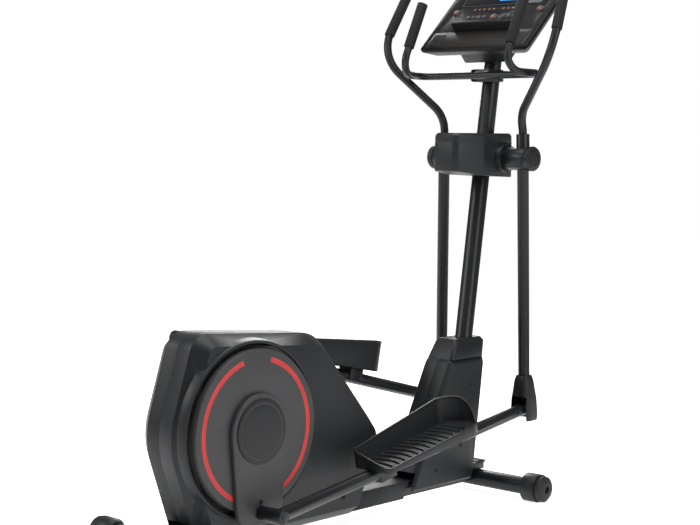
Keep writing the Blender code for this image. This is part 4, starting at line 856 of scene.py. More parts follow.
def crank_cover_outline(side, offset):
    """A round head about the axle, with straight sides to a blunt tip past the pin."""
    head = [
        ((CRANK_COVER_RADIUS - offset) * math.cos(turn), (CRANK_COVER_RADIUS - offset) * math.sin(turn))
        for turn in (math.pi * i / 48 for i in range(49))
    ]
    tip_z = -(CRANK_RADIUS + CRANK_COVER_TIP_REACH[side]) + offset
    half = CRANK_COVER_TIP_HALF_WIDTH - offset
    corners = [
        Vector((*head[-1], 0)), Vector((-half, tip_z, 0)), Vector((half, tip_z, 0)),
        Vector((*head[0], 0)),
    ]
    tip = corner_arc(*corners[:3], 0.055 - offset, 5) + corner_arc(*corners[1:], 0.055 - offset, 5)
    return [(y, side * z) for y, z in head + [(point.x, point.y) for point in tip]]


def crank_cover(side, crank):
    back = DISC_FACE_X + RUN / 2
    inner_face = DISC_FACE_X + 2 * RUN + CRANK_ARM_THICKNESS + 0.001
    outer_face = inner_face + CRANK_COVER_SKIN
    rings = [
        x_ring(side * inner_face, crank_cover_outline(side, CRANK_COVER_SKIN)),
        x_ring(side * back, crank_cover_outline(side, CRANK_COVER_SKIN)),
        x_ring(side * back, crank_cover_outline(side, 0.0)),
        x_ring(side * (outer_face - 0.003), crank_cover_outline(side, 0.0)),
        x_ring(side * outer_face, crank_cover_outline(side, 0.003)),
    ]
    cover = mesh_object(side_name("crank_cover", side), rings, crank)
    cap_profile = (
        (outer_face - 0.0015, CRANK_CAP_RADIUS),
        (outer_face + CRANK_CAP_HEIGHT - 0.002, CRANK_CAP_RADIUS),
        (outer_face + CRANK_CAP_HEIGHT, CRANK_CAP_RADIUS - 0.003),
    )
    cap = lathe(side_name("crank_cap", side), cap_profile, crank, 28, side=side)
    paint(join(cover, cap))


def cover_face_x():
    return DISC_FACE_X + 2 * RUN + CRANK_ARM_THICKNESS + 0.001 + CRANK_COVER_SKIN


# ---------------------------------------------------------------- swing arms


def swing_arm(side, swing):
    """Lower tube, pivot hub, collar for the handle, and the fork and bolt of the lower pivot."""
    name = side_name("swing_arm", side)
    profile = (
        (HUB_INNER_X, PIVOT_AXLE_RADIUS + BORE), (HUB_INNER_X, HUB_RADIUS), (HUB_OUTER_X, HUB_RADIUS),
        (HUB_OUTER_X, PIVOT_AXLE_RADIUS + BORE),
    )
    hub = lathe(name, profile, swing, ends="joined", side=side)
    bridge = -SWING_LENGTH + 0.046
    tube = bar(
        name + "_tube", sided(side, (ARM_X, 0, -0.030), (ARM_X, 0, bridge - 0.002)), ARM_RADIUS, swing,
    )
    # The tube's inside, with a drain hole through the web
    tube_inner = upright(
        name + "_tube_inner",
        (
            (-HUB_RADIUS - 0.010, ARM_RADIUS - TUBE_WALL), (bridge + 0.014, ARM_RADIUS - TUBE_WALL),
            (bridge + 0.010, 0.005), (bridge - 0.030, 0.005),
        ),
        side * ARM_X, swing,
    )
    collar = bar(
        name + "_collar", sided(side, (ARM_X, 0, 0.030), (ARM_X, 0, COLLAR_TOP)), COLLAR_RADIUS, swing,
    )
    socket = bar(
        name + "_socket", sided(side, (ARM_X, 0, 0.044), (ARM_X, 0, COLLAR_TOP + 0.02)),
        HANDLE_RADIUS + 0.0010, swing,
    )
    fork = []
    for label, x in (("inner", ARM_X - FORK_HALF_GAP - FORK_PLATE), ("outer", ARM_X + FORK_HALF_GAP)):
        outline = capsule((0, -SWING_LENGTH), (0, bridge - 0.010), 0.017, 0.017)
        fork.append(plate(f"{name}_fork_{label}", outline, side * x, side * (x + FORK_PLATE), swing))
    reach = FORK_HALF_GAP + FORK_PLATE
    web = block(
        name + "_web", (side * ARM_X - reach + 0.001, -0.016, bridge - 0.006),
        (side * ARM_X + reach - 0.001, 0.016, bridge + 0.006), swing,
    )
    bolt = rod(
        name + "_bolt", side * (ARM_X - reach - 0.003), side * (ARM_X + reach + 0.003),
        CLEVIS_BOLT_RADIUS, swing, (0, -SWING_LENGTH),
    )
    join(hub, tube, collar, web, *fork, bolt)
    paint(cut(hub, tube_inner, socket))


def handle_path(side):
    foot = (ARM_X, 0.0, 0.046)
    start = (ARM_X, 0.0, COLLAR_TOP + 0.012)
    points = sided(side, start, *HANDLE_BENDS, HANDLE_TOP)
    path = bent_path(points, HANDLE_BEND_RADII, 4)
    return [Vector((side * foot[0], foot[1], foot[2]))] + path


def handle_and_grip(side, swing):
    path = handle_path(side)
    end_wall = 0.004
    tube_path = first_stretch(path, path_length(path) - end_wall - GAP)
    paint(pipe(side_name("handle", side), tube_path, HANDLE_RADIUS, 0.002, swing, 10))
    grip_path = last_stretch(path, GRIP_LENGTH)
    grip = sleeve(
        side_name("grip", side), grip_path, GRIP_RADIUS, HANDLE_RADIUS + GAP, end_wall, swing, 10,
    )
    paint(grip)


def pivot_cap(side, swing):
    low = HUB_OUTER_X + RUN
    high = low + PIVOT_CAP_THICKNESS
    profile = (
        (low, PIVOT_CAP_RADIUS - 0.001), (high - 0.006, PIVOT_CAP_RADIUS),
        (high - 0.0015, PIVOT_CAP_RADIUS - 0.003), (high, PIVOT_CAP_RADIUS - 0.008),
    )
    paint(lathe(side_name("pivot_cap", side), profile, swing, side=side))


def clevis_cover(side, swing):
    """A bell over the fork, open below and towards the pedal arm."""
    stations = (  # height over the pivot, half depth along X, half width along Y
        (0.112, 0.0225, 0.0215),
        (0.096, 0.0275, 0.0260),
        (0.035, 0.0375, 0.0320),
        (-0.018, 0.0405, 0.0345),
        (-0.036, 0.0385, 0.0325),
    )

    def rings(offset, top_drop):
        result = []
        for i, (rise, half_x, half_y) in enumerate(stations):
            drop = top_drop if i == 0 else 0.0
            outline = rounded(
                box_outline(-half_x + offset, half_x - offset, -half_y + offset, half_y - offset),
                [0.6 * (half_y - offset)] * 4, 3,
            )
            height = -SWING_LENGTH + rise - drop
            result.append([(side * (ARM_X + a), b, height) for a, b in outline])
        return result

    outer = rings(0.0, 0.0)
    inner = rings(CLEVIS_COVER_SKIN, CLEVIS_COVER_SKIN)
    name = side_name("clevis_cover", side)
    cover = mesh_object(name, inner + outer[::-1], swing)
    hole = bar(
        name + "_hole", sided(side, (ARM_X, 0, -SWING_LENGTH + 0.08), (ARM_X, 0, -SWING_LENGTH + 0.13)),
        ARM_RADIUS + 0.0006, swing,
    )
    mouth = block(
        name + "_mouth", (side * ARM_X - 0.0300, -0.060, -SWING_LENGTH - 0.060),
        (side * ARM_X + 0.0300, -0.010, -SWING_LENGTH + 0.044), swing,
    )
    paint(cut(cover, hole, mouth))


# ---------------------------------------------------------------- pedal arms


def pedal_arm(side, arm):
    """Tube from the crank pin's hub to the eye in the swing arm's fork, with the pedal's brackets."""
    name = side_name("pedal_arm", side)
    pin_y = -PEDAL_ARM_LENGTH
    spacer_start = cover_face_x() + RUN
    profile = (
        (spacer_start, 0.018), (spacer_start + 0.002, PEDAL_HUB_RADIUS - 0.0015),
        (PIN_X - PEDAL_HUB_HALF, PEDAL_HUB_RADIUS - 0.0015), (PIN_X - PEDAL_HUB_HALF, PEDAL_HUB_RADIUS),
        (PIN_X + PEDAL_HUB_HALF, PEDAL_HUB_RADIUS),
        (PIN_X + PEDAL_HUB_HALF + 0.003, PEDAL_HUB_RADIUS - 0.003),
        (PIN_X + PEDAL_HUB_HALF + 0.003, BOLT_HEAD_RADIUS),
        (PIN_X + PEDAL_HUB_HALF + 0.006, BOLT_HEAD_RADIUS - 0.001),
    )
    hub = lathe(name, profile, arm, 20, side=side, centre=(pin_y, 0))
    ends = sided(side, (PIN_X, pin_y + 0.012, 0), (ARM_X, -0.016, 0))
    tube = bar(name + "_tube", ends, PEDAL_ARM_RADIUS, arm)
    inner_ends = sided(side, (PIN_X, pin_y + 0.030, 0), (ARM_X, -0.034, 0))
    core = bar(name + "_core", inner_ends, PEDAL_ARM_RADIUS - TUBE_WALL, arm)
    vent = rod(name + "_vent", side * ARM_X, side * (ARM_X + 0.06), 0.004, arm, (-0.060, 0.0), 12)
    half = FORK_HALF_GAP - RUN / 2
    eye = rod(name + "_eye", side * (ARM_X - half), side * (ARM_X + half), EYE_RADIUS, arm, (0, 0), 20)
    bore = rod(name + "_bore", side * 0.12, side * 0.22, CLEVIS_BOLT_RADIUS + 0.0005, arm, (0, 0), 16)
    pedal = pedal_frame(side, arm)
    brackets = []
    for label, low, high in (("rear", -0.195, -0.125), ("front", 0.085, 0.145)):
        brackets.append(
            block(
                f"{name}_{label}_bracket", (side * -0.0225 - 0.026, low, -0.050),
                (side * -0.0225 + 0.026, high, -GAP), pedal,
            )
        )
    join(hub, tube, eye, *brackets)
    paint(cut(hub, core, vent, bore))
    return pedal


def pedal_frame(side, arm):
    """An empty in the middle of the pedal's floor."""
    place = (side * PEDAL_X, PEDAL_FROM_PIN - PEDAL_ARM_LENGTH, PEDAL_RISE)
    return empty(side_name("pedal_frame", side), arm, place, PEDAL_TILT)


def eased(share):
    share = min(1.0, max(0.0, share))
    return share * share * (3 - 2 * share)


def pedal(side, frame):
    """A tray with a low outer rim, a rounded toe and a high wall on the inner side."""
    half_width, half_length = PEDAL_WIDTH / 2, PEDAL_LENGTH / 2
    plan = (
        (half_width, -half_length), (half_width, half_length), (-half_width, half_length),
        (-half_width, -half_length),
    )
    radii = (PEDAL_CORNER, PEDAL_TOE, PEDAL_TOE, PEDAL_CORNER)

    def outline(offset):
        return rounded(inset(plan, offset), smaller(radii, offset), 6)

    def rim(x, y):
        share = eased((half_width - x) / PEDAL_WIDTH)
        back = min(1.0, (y + half_length) / 0.17)
        wall = PEDAL_INNER_WALL * (0.61 + 0.39 * back)
        toe = eased((y - half_length + 0.110) / 0.100)
        rise = 1 - (1 - share) * (1 - 0.85 * toe * eased((half_width - x) / (0.7 * PEDAL_WIDTH)))
        return PEDAL_RIM + (wall - PEDAL_RIM) * rise

    def skirt(y):
        return -PEDAL_SKIRT * min(1.0, max(0.0, (y + half_length - 0.03) / 0.06))

    def ring(offset, height):
        return [(side * x, y, height(x, y)) for x, y in outline(offset)]

    rings = [
        ring(PEDAL_WALL, lambda x, y: 0.0), ring(PEDAL_WALL, lambda x, y: skirt(y) - 0.0004),
        ring(0.0, lambda x, y: skirt(y) - 0.0004), ring(0.0, rim), ring(PEDAL_WALL, rim),
        ring(PEDAL_WALL + 0.001, lambda x, y: 0.005),
    ]
    body = mesh_object(side_name("pedal", side), rings, frame)
    paint(body)
    path = ring(PEDAL_WALL / 2, lambda x, y: rim(x, y) - 0.0015)
    bead = swept_rings(path + path[:1], 0.0042, 3)[:-1]
    trim(
        mesh_object(side_name("pedal_rim", side), bead, frame, "joined"), side_name("foot", side),
        "moulded_black", 0,
    )


# ---------------------------------------------------------------- fixed handlebar


def pulse_handlebar(parent):
    """One bent tube across the back of the mast, welded to a saddle that holds the mast."""
    right = bent_path([(0.0, *BAR_CORNERS[0][1:]), *BAR_CORNERS, BAR_END], BAR_RADII, 3)
    end_wall = 0.004
    length = path_length(right)
    right_tube = first_stretch(right, length - end_wall - GAP)
    left_tube = [Vector((-p.x, p.y, p.z)) for p in right_tube]
    tube = pipe("pulse_handlebar", left_tube[:0:-1] + right_tube[1:], BAR_RADIUS, 0.002, parent, 10)
    y, z = BAR_CORNERS[0][1:]
    saddle = block(
        "handlebar_saddle", (-CLAMP_HALF_WIDTH, y + BAR_RADIUS - 0.004, z - CLAMP_HALF_HEIGHT),
        (CLAMP_HALF_WIDTH, mast_y(z) + 0.004, z + CLAMP_HALF_HEIGHT), parent,
    )
    path = ((0, mast_y(1.30), 1.30), (0, mast_y(1.46), 1.46))
    relief = bar("saddle_relief", path, MAST_RADIUS + GAP, parent, 24)
    cut(saddle, relief)
    paint(join(tube, saddle))
    for side in (1, -1):
        path = [Vector((side * p.x, p.y, p.z)) for p in last_stretch(right, BAR_GRIP_LENGTH)]
        name = side_name("pulse_grip", side)
        paint(sleeve(name, path, BAR_GRIP_RADIUS, BAR_RADIUS + GAP, end_wall, parent, 10))


# ---------------------------------------------------------------- console
# Its boxes are given in the axes of the face: X, up the face, and out of it


def console_face(face):
    plan = rounded(
        box_outline(-CONSOLE_HALF_WIDTH, CONSOLE_HALF_WIDTH, 0.0, CONSOLE_LENGTH), [0.012] * 4,
    )
    panel = mesh_object("console_face", [z_ring(-FACE_THICKNESS, plan), z_ring(0.0, plan)], face)
    ledge = block(
        "tablet_ledge", (-LEDGE_HALF_WIDTH, LEDGE_S, -0.004),
        (LEDGE_HALF_WIDTH, LEDGE_S + LEDGE_THICKNESS, LEDGE_PROUD), face,
    )
    lip = block(
        "tablet_lip", (-LEDGE_HALF_WIDTH + 0.001, LEDGE_S + 0.001, LEDGE_PROUD - 0.004),
        (LEDGE_HALF_WIDTH - 0.001, LEDGE_S + LEDGE_THICKNESS + 0.006, LEDGE_PROUD + 0.002), face,
    )
    pocket = block(
        "lens_pocket", (-LENS_HALF_WIDTH - GAP, LENS_LOW - GAP, -LENS_THICKNESS - 2 * GAP),
        (LENS_HALF_WIDTH + GAP, LENS_HIGH + GAP, 0.01), face,
    )
    holes = []
    for name, x, s in key_places():
        hole = disc_on_face(name + "_hole", x, s, KEY_RADIUS + KEY_CLEARANCE, (-0.03, 0.02), face)
        holes.append(hole)
    join(panel, ledge, lip)
    paint(cut(panel, pocket, *holes))


def key_places():
    return (
        ("resistance_down_key", -KEY_X, KEY_S), ("resistance_up_key", KEY_X, KEY_S),
        ("start_key", 0.0, START_KEY_S),
    )


def disc_on_face(name, x, s, radius, span, parent, sides=20):
    rings = [[(x + a, s + b, height) for a, b in circle(radius, sides)] for height in span]
    return mesh_object(name, rings, parent)


def console_keys(face):
    for name, x, s in key_places():
        axis = empty(name + "_axis", face, (x, s, 0.0))
        profile = (
            (-FACE_THICKNESS + 0.001, KEY_RADIUS), (KEY_PROUD - 0.001, KEY_RADIUS),
            (KEY_PROUD, KEY_RADIUS - 0.0015),
        )
        rings = [[(a, b, height) for a, b in circle(radius, 20)] for height, radius in profile]
        paint(mesh_object(name, rings, axis))


def display_lens(face):
    lens = block(
        "display_lens", (-LENS_HALF_WIDTH, LENS_LOW, -LENS_THICKNESS - GAP),
        (LENS_HALF_WIDTH, LENS_HIGH, -GAP), face,
    )
    paint(lens)


def housing_rings(offset, top, floor):
    """The housing's outline at the face and at its flat back, moved inwards by an offset."""
    wide = box_outline(
        -CONSOLE_HALF_WIDTH + offset, CONSOLE_HALF_WIDTH - offset, offset, CONSOLE_LENGTH - offset,
    )
    deep = box_outline(
        -CONSOLE_HALF_WIDTH + 0.030 + offset, CONSOLE_HALF_WIDTH - 0.030 - offset, 0.022 + offset,
        CONSOLE_LENGTH - 0.030 - offset,
    )
    return [z_ring(top, rounded(wide, [0.012] * 4)), z_ring(floor, rounded(deep, [0.012] * 4))]


def neck_block(name, offset, face):
    outline = rounded(
        box_outline(
            -NECK_HALF_WIDTH + offset, NECK_HALF_WIDTH - offset, NECK_BOTTOM + offset,
            NECK_TOP - offset,
        ),
        [0.018] * 4,
    )
    top = -CONSOLE_DEPTH + 0.020 + offset
    return mesh_object(name, [z_ring(-NECK_DEPTH + offset, outline), z_ring(top, outline)], face)


def console_housing(face, assembly):
    """A shallow shell behind the face, with a hollow neck that takes the mast's top."""
    top = -FACE_THICKNESS - GAP
    shell = mesh_object("console_housing", housing_rings(0.0, top, -CONSOLE_DEPTH), face)
    inside = housing_rings(SKIN, top, -CONSOLE_DEPTH + SKIN)
    above = [(x, y, 0.20) for x, y, _ in inside[0]]
    cavity = mesh_object("console_cavity", [above, *inside], face)
    neck = neck_block("console_neck", 0.0, face)
    neck_cavity = neck_block("console_neck_cavity", SKIN, face)
    path = ((0, mast_y(1.38), 1.38), (0, mast_y(MAST_TOP), MAST_TOP))
    mast_bore = bar("console_mast_bore", path, MAST_RADIUS + 0.0009, assembly, 20)
    join(shell, neck)
    paint(cut(shell, cavity, neck_cavity, mast_bore))


# ---------------------------------------------------------------- small trim


def trim(obj, body, slot, bevel=0.0004):
    SHOWN.append((obj, None, body, slot, bevel))
    return obj


def arc_band(name, inner, outer, start, end, x_low, x_high, parent, steps=48):
    """A flat band round the X axis, between two angles from straight up, positive towards +Y."""
    sections = []
    for i in range(steps + 1):
        turn = math.radians(start + (end - start) * i / steps)
        across = ((x_low, inner), (x_high, inner), (x_high, outer), (x_low, outer))
        sections.append([(x, radius * math.sin(turn), radius * math.cos(turn)) for x, radius in across])
    return mesh_object(name, sections, parent)


def disc_ring(side, crank):
    """Printed bands on the disc: red between two thin tan lines, broken at the top."""
    low, high = side * (DISC_FACE_X - 0.0004), side * (DISC_FACE_X + 0.0002)
    middle = DISC_RADII[side] - RING_MIDDLE
    bands = (
        ("inner_red", middle - RING_HALF, middle - 0.0014, "ring_red"),
        ("outer_red", middle - 0.0004, middle + RING_HALF, "ring_red"),
        ("inner_line", middle - RING_HALF - 0.0026, middle - RING_HALF - 0.0012, "ring_tan"),
        ("outer_line", middle + RING_HALF + 0.0012, middle + RING_HALF + 0.0026, "ring_tan"),
    )
    for hand, start, end in (("rear", -166, -15), ("front", 15, 166)):
        for label, inner, outer, slot in bands:
            name = side_name(f"disc_{label}_{hand}", side)
            trim(arc_band(name, inner, outer, start, end, low, high, crank), "crank", slot, 0)


def socket_screw(name, side, x, y, z, body, parent, radius=0.0065):
    """A sunk button head with a hexagon socket, in a shallow cup."""
    cup = lathe(
        name + "_cup",
        (
            (x - 0.0004, radius + 0.0020), (x + 0.0006, radius + 0.0016), (x + 0.0006, radius + 0.0004),
            (x - 0.0004, radius + 0.0004),
        ),
        parent, 16, "joined", side=side, centre=(y, z),
    )
    trim(cup, body, "moulded_black", 0)
    profile = ((x - 0.002, radius), (x + 0.0006, radius), (x + 0.0016, 0.75 * radius))
    head = lathe(name, profile, parent, 16, side=side, centre=(y, z))
    hexagon = [(y + a, z + b) for a, b in coarse_circle(0.45 * radius, 6)]
    socket = plate(name + "_socket", hexagon, side * (x - 0.0005), side * (x + 0.004), parent)
    trim(cut(head, socket), body, "screw_black", 0)


def coarse_circle(radius, sides):
    return [
        (radius * math.cos(math.tau * i / sides), radius * math.sin(math.tau * i / sides))
        for i in range(sides)
    ]


def shroud_screws(side, assembly):
    for i, (x, y, z) in enumerate(SHROUD_SCREWS):
        if side < 0 and y < 0:  # the left half has no screw at the rear
            continue
        socket_screw(side_name(f"shroud_screw_{i + 1}", side), side, x, y, z, "frame", assembly)
    x = MAST_COVER_HALF_WIDTH
    for i, (y, z) in enumerate(MAST_COVER_SCREWS):
        name = side_name(f"mast_cover_screw_{i + 1}", side)
        socket_screw(name, side, x, y, z, "frame", assembly, 0.0050)


def crank_cover_trim(side, crank):
    """A plugged hole near the tip, a moulded step round the cap and an inner panel line."""
    face = cover_face_x()
    z = -side * (CRANK_RADIUS - 0.030)
    socket_screw(side_name("crank_cover_screw", side), side, face, 0.0, z, "crank", crank, 0.0055)
    top = face + CRANK_CAP_HEIGHT
    dome = (
        (top - 0.0004, 0.0765), (top + 0.0010, 0.0762), (top + 0.0024, 0.0600), (top + 0.0030, 0.0300),
        (top + 0.0031, 0.0040),
    )
    trim(lathe(side_name("crank_cap_dome", side), dome, crank, 36, side=side), "crank", "cap_black", 0)
    collar = (
        (top - 0.0030, CRANK_CAP_RADIUS + 0.0006), (top - 0.0006, CRANK_CAP_RADIUS + 0.0002),
        (top + 0.0003, CRANK_CAP_RADIUS - 0.0035), (top + 0.0003, 0.0800), (top - 0.0010, 0.0800),
        (top - 0.0030, 0.0880),
    )
    trim(
        lathe(side_name("crank_cap_collar", side), collar, crank, 36, "joined", side=side), "crank",
        "cap_black", 0,
    )
    groove = (
        (top - 0.0006, 0.0800), (top + 0.0005, 0.0795), (top + 0.0005, 0.0770), (top - 0.0006, 0.0765),
    )
    ring = lathe(side_name("crank_cap_ring", side), groove, crank, 36, "joined", side=side)
    trim(ring, "crank", "disc_grey", 0)


def pedal_ribs(side, frame_of_pedal):
    """Curved cleats across the tray's floor."""
    body = side_name("foot", side)
    for i in range(RIB_COUNT):
        middle = -0.190 + 0.345 * i / (RIB_COUNT - 1)
        half = 0.055 - max(0.0, middle - 0.10) * 0.25
        rows = []
        for j in range(RIB_STEPS + 1):
            u = -1 + 2 * j / RIB_STEPS
            bow = 0.011 * (1 - u * u)
            rows.append((side * u * half, middle + bow))
        sections = [[(x, y + a, b) for a, b in RIB_SECTION] for x, y in rows]
        obj = mesh_object(side_name(f"pedal_rib_{i + 1}", side), sections, frame_of_pedal)
        trim(obj, body, "moulded_black", 0.0005)


def pedal_edge(side, frame_of_pedal):
    """A lighter grey bead inside the outer rim: a painted highlight for the rim's shine."""
    x = PEDAL_WIDTH / 2 - PEDAL_WALL - 0.0022
    low, high = -PEDAL_LENGTH / 2 + 0.075, PEDAL_LENGTH / 2 - 0.110
    path = sided(side, (x, low, 0.0100), (x, high, 0.0100))
    trim(
        bar(side_name("pedal_edge", side), path, 0.0016, frame_of_pedal, 4), side_name("foot", side),
        "edge_gloss", 0,
    )


def sheet_on_face(name, box, corner, spans, face):
    """A thin rounded sheet on the console's face. A span is (height, inset)."""
    low_x, high_x, low_s, high_s = box
    rings = [
        z_ring(h, rounded(box_outline(low_x + d, high_x - d, low_s + d, high_s - d), [corner] * 4))
        for h, d in spans
    ]
    return mesh_object(name, rings, face)


def console_trim(face):
    """Controls moulded into the sloping face."""
    spans = ((-0.001, 0), (0.0009, 0), (0.0014, 0.0008))
    panel = sheet_on_face("control_panel", (-0.205, 0.205, 0.008, 0.086), 0.010, spans, face)
    trim(panel, "frame", "panel_grey", 0)
    for side in (1, -1):
        grille = side_name("speaker", side)
        for i in range(7):
            x = side * (0.150 + 0.007 * i)
            box = (x - 0.0018, x + 0.0018, 0.020, 0.074)
            slot = sheet_on_face(f"{grille}_{i + 1}", box, 0.0016, ((0.0008, 0), (0.0019, 0)), face)
            trim(slot, "frame", "moulded_black", 0)
    for i in range(11):
        x = -0.100 + 0.020 * i
        if abs(x) < 0.001:
            continue
        dot = disc_on_face(f"preset_{i + 1}", x, 0.200, 0.0042, (-0.0005, 0.0009), face, 8)
        trim(dot, "frame", "glowing_dot_print", 0.0003)
    for side in (1, -1):
        for i in range(4):
            x = side * (0.040 + 0.022 * i)
            box, name = (x - 0.008, x + 0.008, 0.152, 0.168), side_name(f"soft_key_{i + 1}", side)
            key = sheet_on_face(name, box, 0.003, ((-0.0005, 0), (0.0012, 0)), face)
            trim(key, "frame", "soft_key", 0.0004)
    bezel_outer = rounded(
        box_outline(
            -LENS_HALF_WIDTH - 0.006, LENS_HALF_WIDTH + 0.006, LENS_LOW - 0.005, LENS_HIGH + 0.005,
        ),
        [0.006] * 4,
    )
    bezel_inner = rounded(
        box_outline(
            -LENS_HALF_WIDTH - 0.0008, LENS_HALF_WIDTH + 0.0008, LENS_LOW - 0.0008, LENS_HIGH + 0.0008,
        ),
        [0.002] * 4,
    )
    rings = [
        z_ring(-0.0006, bezel_inner), z_ring(-0.0006, bezel_outer), z_ring(0.0012, bezel_outer),
        z_ring(0.0012, bezel_inner),
    ]
    trim(mesh_object("lens_bezel", rings, face, "joined"), "frame", "screw_black", 0.0003)
    graph = block(
        "display_graph", (-0.020, LENS_LOW + 0.020, -0.0006), (0.062, LENS_HIGH - 0.020, 0.0001), face,
    )
    trim(graph, "frame", "screen_blue", 0)
    ledge_pad = block(
        "ledge_pad", (-LEDGE_HALF_WIDTH + 0.006, LEDGE_S + LEDGE_THICKNESS - 0.0002, 0.004),
        (LEDGE_HALF_WIDTH - 0.006, LEDGE_S + LEDGE_THICKNESS + 0.0012, 0.024), face,
    )
    trim(ledge_pad, "frame", "wheel_rubber", 0.0004)


def key_marks(face):
    """Raised plus, minus and triangle marks."""
    top = KEY_PROUD
    marks = (
        ("plus_bar", "resistance_up_key", KEY_X, KEY_S, 0.0060, 0.0012),
        ("plus_post", "resistance_up_key", KEY_X, KEY_S, 0.0012, 0.0060),
        ("minus_bar", "resistance_down_key", -KEY_X, KEY_S, 0.0060, 0.0012),
    )
    for name, body, x, s, half_x, half_s in marks:
        mark = block(
            name, (x - half_x, s - half_s, top - 0.0004), (x + half_x, s + half_s, top + 0.0003), face,
        )
        trim(mark, body, "glowing_dot_print", 0)
    s = START_KEY_S
    triangle = [(-0.0042, s - 0.0052), (0.0060, s), (-0.0042, s + 0.0052)]
    mark = mesh_object(
        "start_mark", [z_ring(top - 0.0004, triangle), z_ring(top + 0.0003, triangle)], face,
    )
    trim(mark, "start_key", "glowing_dot_print", 0)


def clamp_plates(assembly):
    """Cheeks and bolts that hold the fixed bar to the mast."""
    y, z = BAR_CORNERS[0][1:]
    for side in (1, -1):
        outline = rounded(box_outline(y - 0.002, mast_y(z) + 0.016, z - 0.020, z + 0.020), [0.006] * 4)
        x = side * (CLAMP_HALF_WIDTH + 0.0002)
        cheek = plate(side_name("bar_cheek", side), outline, x, x + side * 0.0035, assembly)
        trim(cheek, "frame", "frame_paint", 0.0008)
        for label, rise in (("low", -0.011), ("high", 0.011)):
            name = side_name(f"bar_bolt_{label}", side)
            profile = (
                (CLAMP_HALF_WIDTH + 0.003, 0.0060), (CLAMP_HALF_WIDTH + 0.0065, 0.0060),
                (CLAMP_HALF_WIDTH + 0.0080, 0.0045),
            )
            bolt = lathe(name, profile, assembly, 12, side=side, centre=(mast_y(z) - 0.004, z + rise))
            trim(bolt, "frame", "screw_black", 0)


def pivot_cap_trim(side, swing):
    """A stepped disc on each cap."""
    high = HUB_OUTER_X + RUN + PIVOT_CAP_THICKNESS
    profile = (
        (high - 0.0005, 0.0270), (high + 0.0012, 0.0265), (high + 0.0018, 0.0250),
        (high + 0.0018, 0.0225), (high + 0.0004, 0.0215), (high - 0.0005, 0.0215),
    )
    ring = lathe(side_name("pivot_cap_ring", side), profile, swing, 24, "joined", side=side)
    trim(ring, side_name("swing", side), "moulded_black", 0)


def lever_bolts(side, swing):
    """Bolts through the collar into each lever's foot."""
    for i, rise in enumerate((0.052, 0.070)):
        x = ARM_X + COLLAR_RADIUS
        profile = ((x - 0.002, 0.0052), (x + 0.0016, 0.0052), (x + 0.0028, 0.0036))
        bolt = lathe(
            side_name(f"lever_bolt_{i + 1}", side), profile, swing, 10, side=side, centre=(0.0, rise),
        )
        trim(bolt, side_name("swing", side), "screw_black", 0)


# ---------------------------------------------------------------- materials


class Nodes:
    """Adds linked shader nodes to one material."""

    def __init__(self, name):
        self.material = bpy.data.materials.new(name)
        self.material.use_nodes = True
        self.tree = self.material.node_tree
        self.shader = self.tree.nodes["Principled BSDF"]

    def add(self, kind, inputs=(), **settings):
        node = self.tree.nodes.new(kind)
        for key, value in settings.items():
            setattr(node, key, value)
        for key, value in dict(inputs).items():
            self.put(node.inputs[key], value)
        return node

    def put(self, socket, value):
        if isinstance(value, bpy.types.NodeSocket):
            self.tree.links.new(value, socket)
        else:
            socket.default_value = value

    def blend(self, share, first, second):
        """Mixes two colours. The mix node has other sockets with the names of its colour ones."""
        node = self.add("ShaderNodeMix", {"Factor": share}, data_type="RGBA")
        for socket, value in zip([s for s in node.inputs if s.type == "RGBA"], (first, second)):
            self.put(socket, value)
        return next(s for s in node.outputs if s.type == "RGBA")


def surface(
    name, colour, roughness, grain, depth, metallic=0.0, stretch=(1, 1, 1), glow=None, mottle=0.22,
    shine=0.32,
):
    """A finish with a slow drift of tone and gloss, fine grain, and dust on what faces up."""
    make = Nodes(name)
    place = make.add("ShaderNodeTexCoord").outputs["Object"]
    scaled = make.add("ShaderNodeMapping", {"Vector": place, "Scale": stretch}).outputs["Vector"]
    fine = make.add(
        "ShaderNodeTexNoise", {"Vector": scaled, "Scale": grain, "Detail": 3.0},
    ).outputs["Fac"]
    slow = make.add("ShaderNodeTexNoise", {"Vector": place, "Scale": 7.0, "Detail": 4.0}).outputs["Fac"]
    scuff = make.add(
        "ShaderNodeTexNoise", {"Vector": scaled, "Scale": 70.0, "Detail": 6.0},
    ).outputs["Fac"]
    dark = (*(c * (1 - mottle) for c in colour), 1)
    light = (*(c * (1 + mottle) for c in colour), 1)
    toned = make.blend(slow, dark, light)
    normal = make.add("ShaderNodeNewGeometry").outputs["Normal"]
    up = make.add("ShaderNodeSeparateXYZ", {"Vector": normal}).outputs["Z"]
    facing = make.add(
        "ShaderNodeMapRange",
        {"Value": up, "From Min": 0.3, "From Max": 1.0, "To Min": 0.0, "To Max": 0.02},
    )
    dusty = make.add(
        "ShaderNodeMath", {0: facing.outputs["Result"], 1: scuff}, operation="MULTIPLY",
    ).outputs["Value"]
    make.put(make.shader.inputs["Base Color"], make.blend(dusty, toned, DUST))
    gloss = make.add(
        "ShaderNodeMapRange", {"Value": scuff, "To Min": roughness - 0.05, "To Max": roughness + 0.07},
    )
    make.put(make.shader.inputs["Roughness"], gloss.outputs["Result"])
    make.put(make.shader.inputs["Metallic"], metallic)
    make.put(make.shader.inputs["Specular IOR Level"], shine)
    bump = make.add("ShaderNodeBump", {"Height": fine, "Strength": 0.6, "Distance": depth})
    make.put(make.shader.inputs["Normal"], bump.outputs["Normal"])
    if glow:
        make.put(make.shader.inputs["Emission Color"], (*glow[0], 1))
        make.put(make.shader.inputs["Emission Strength"], glow[1])
    return make.material


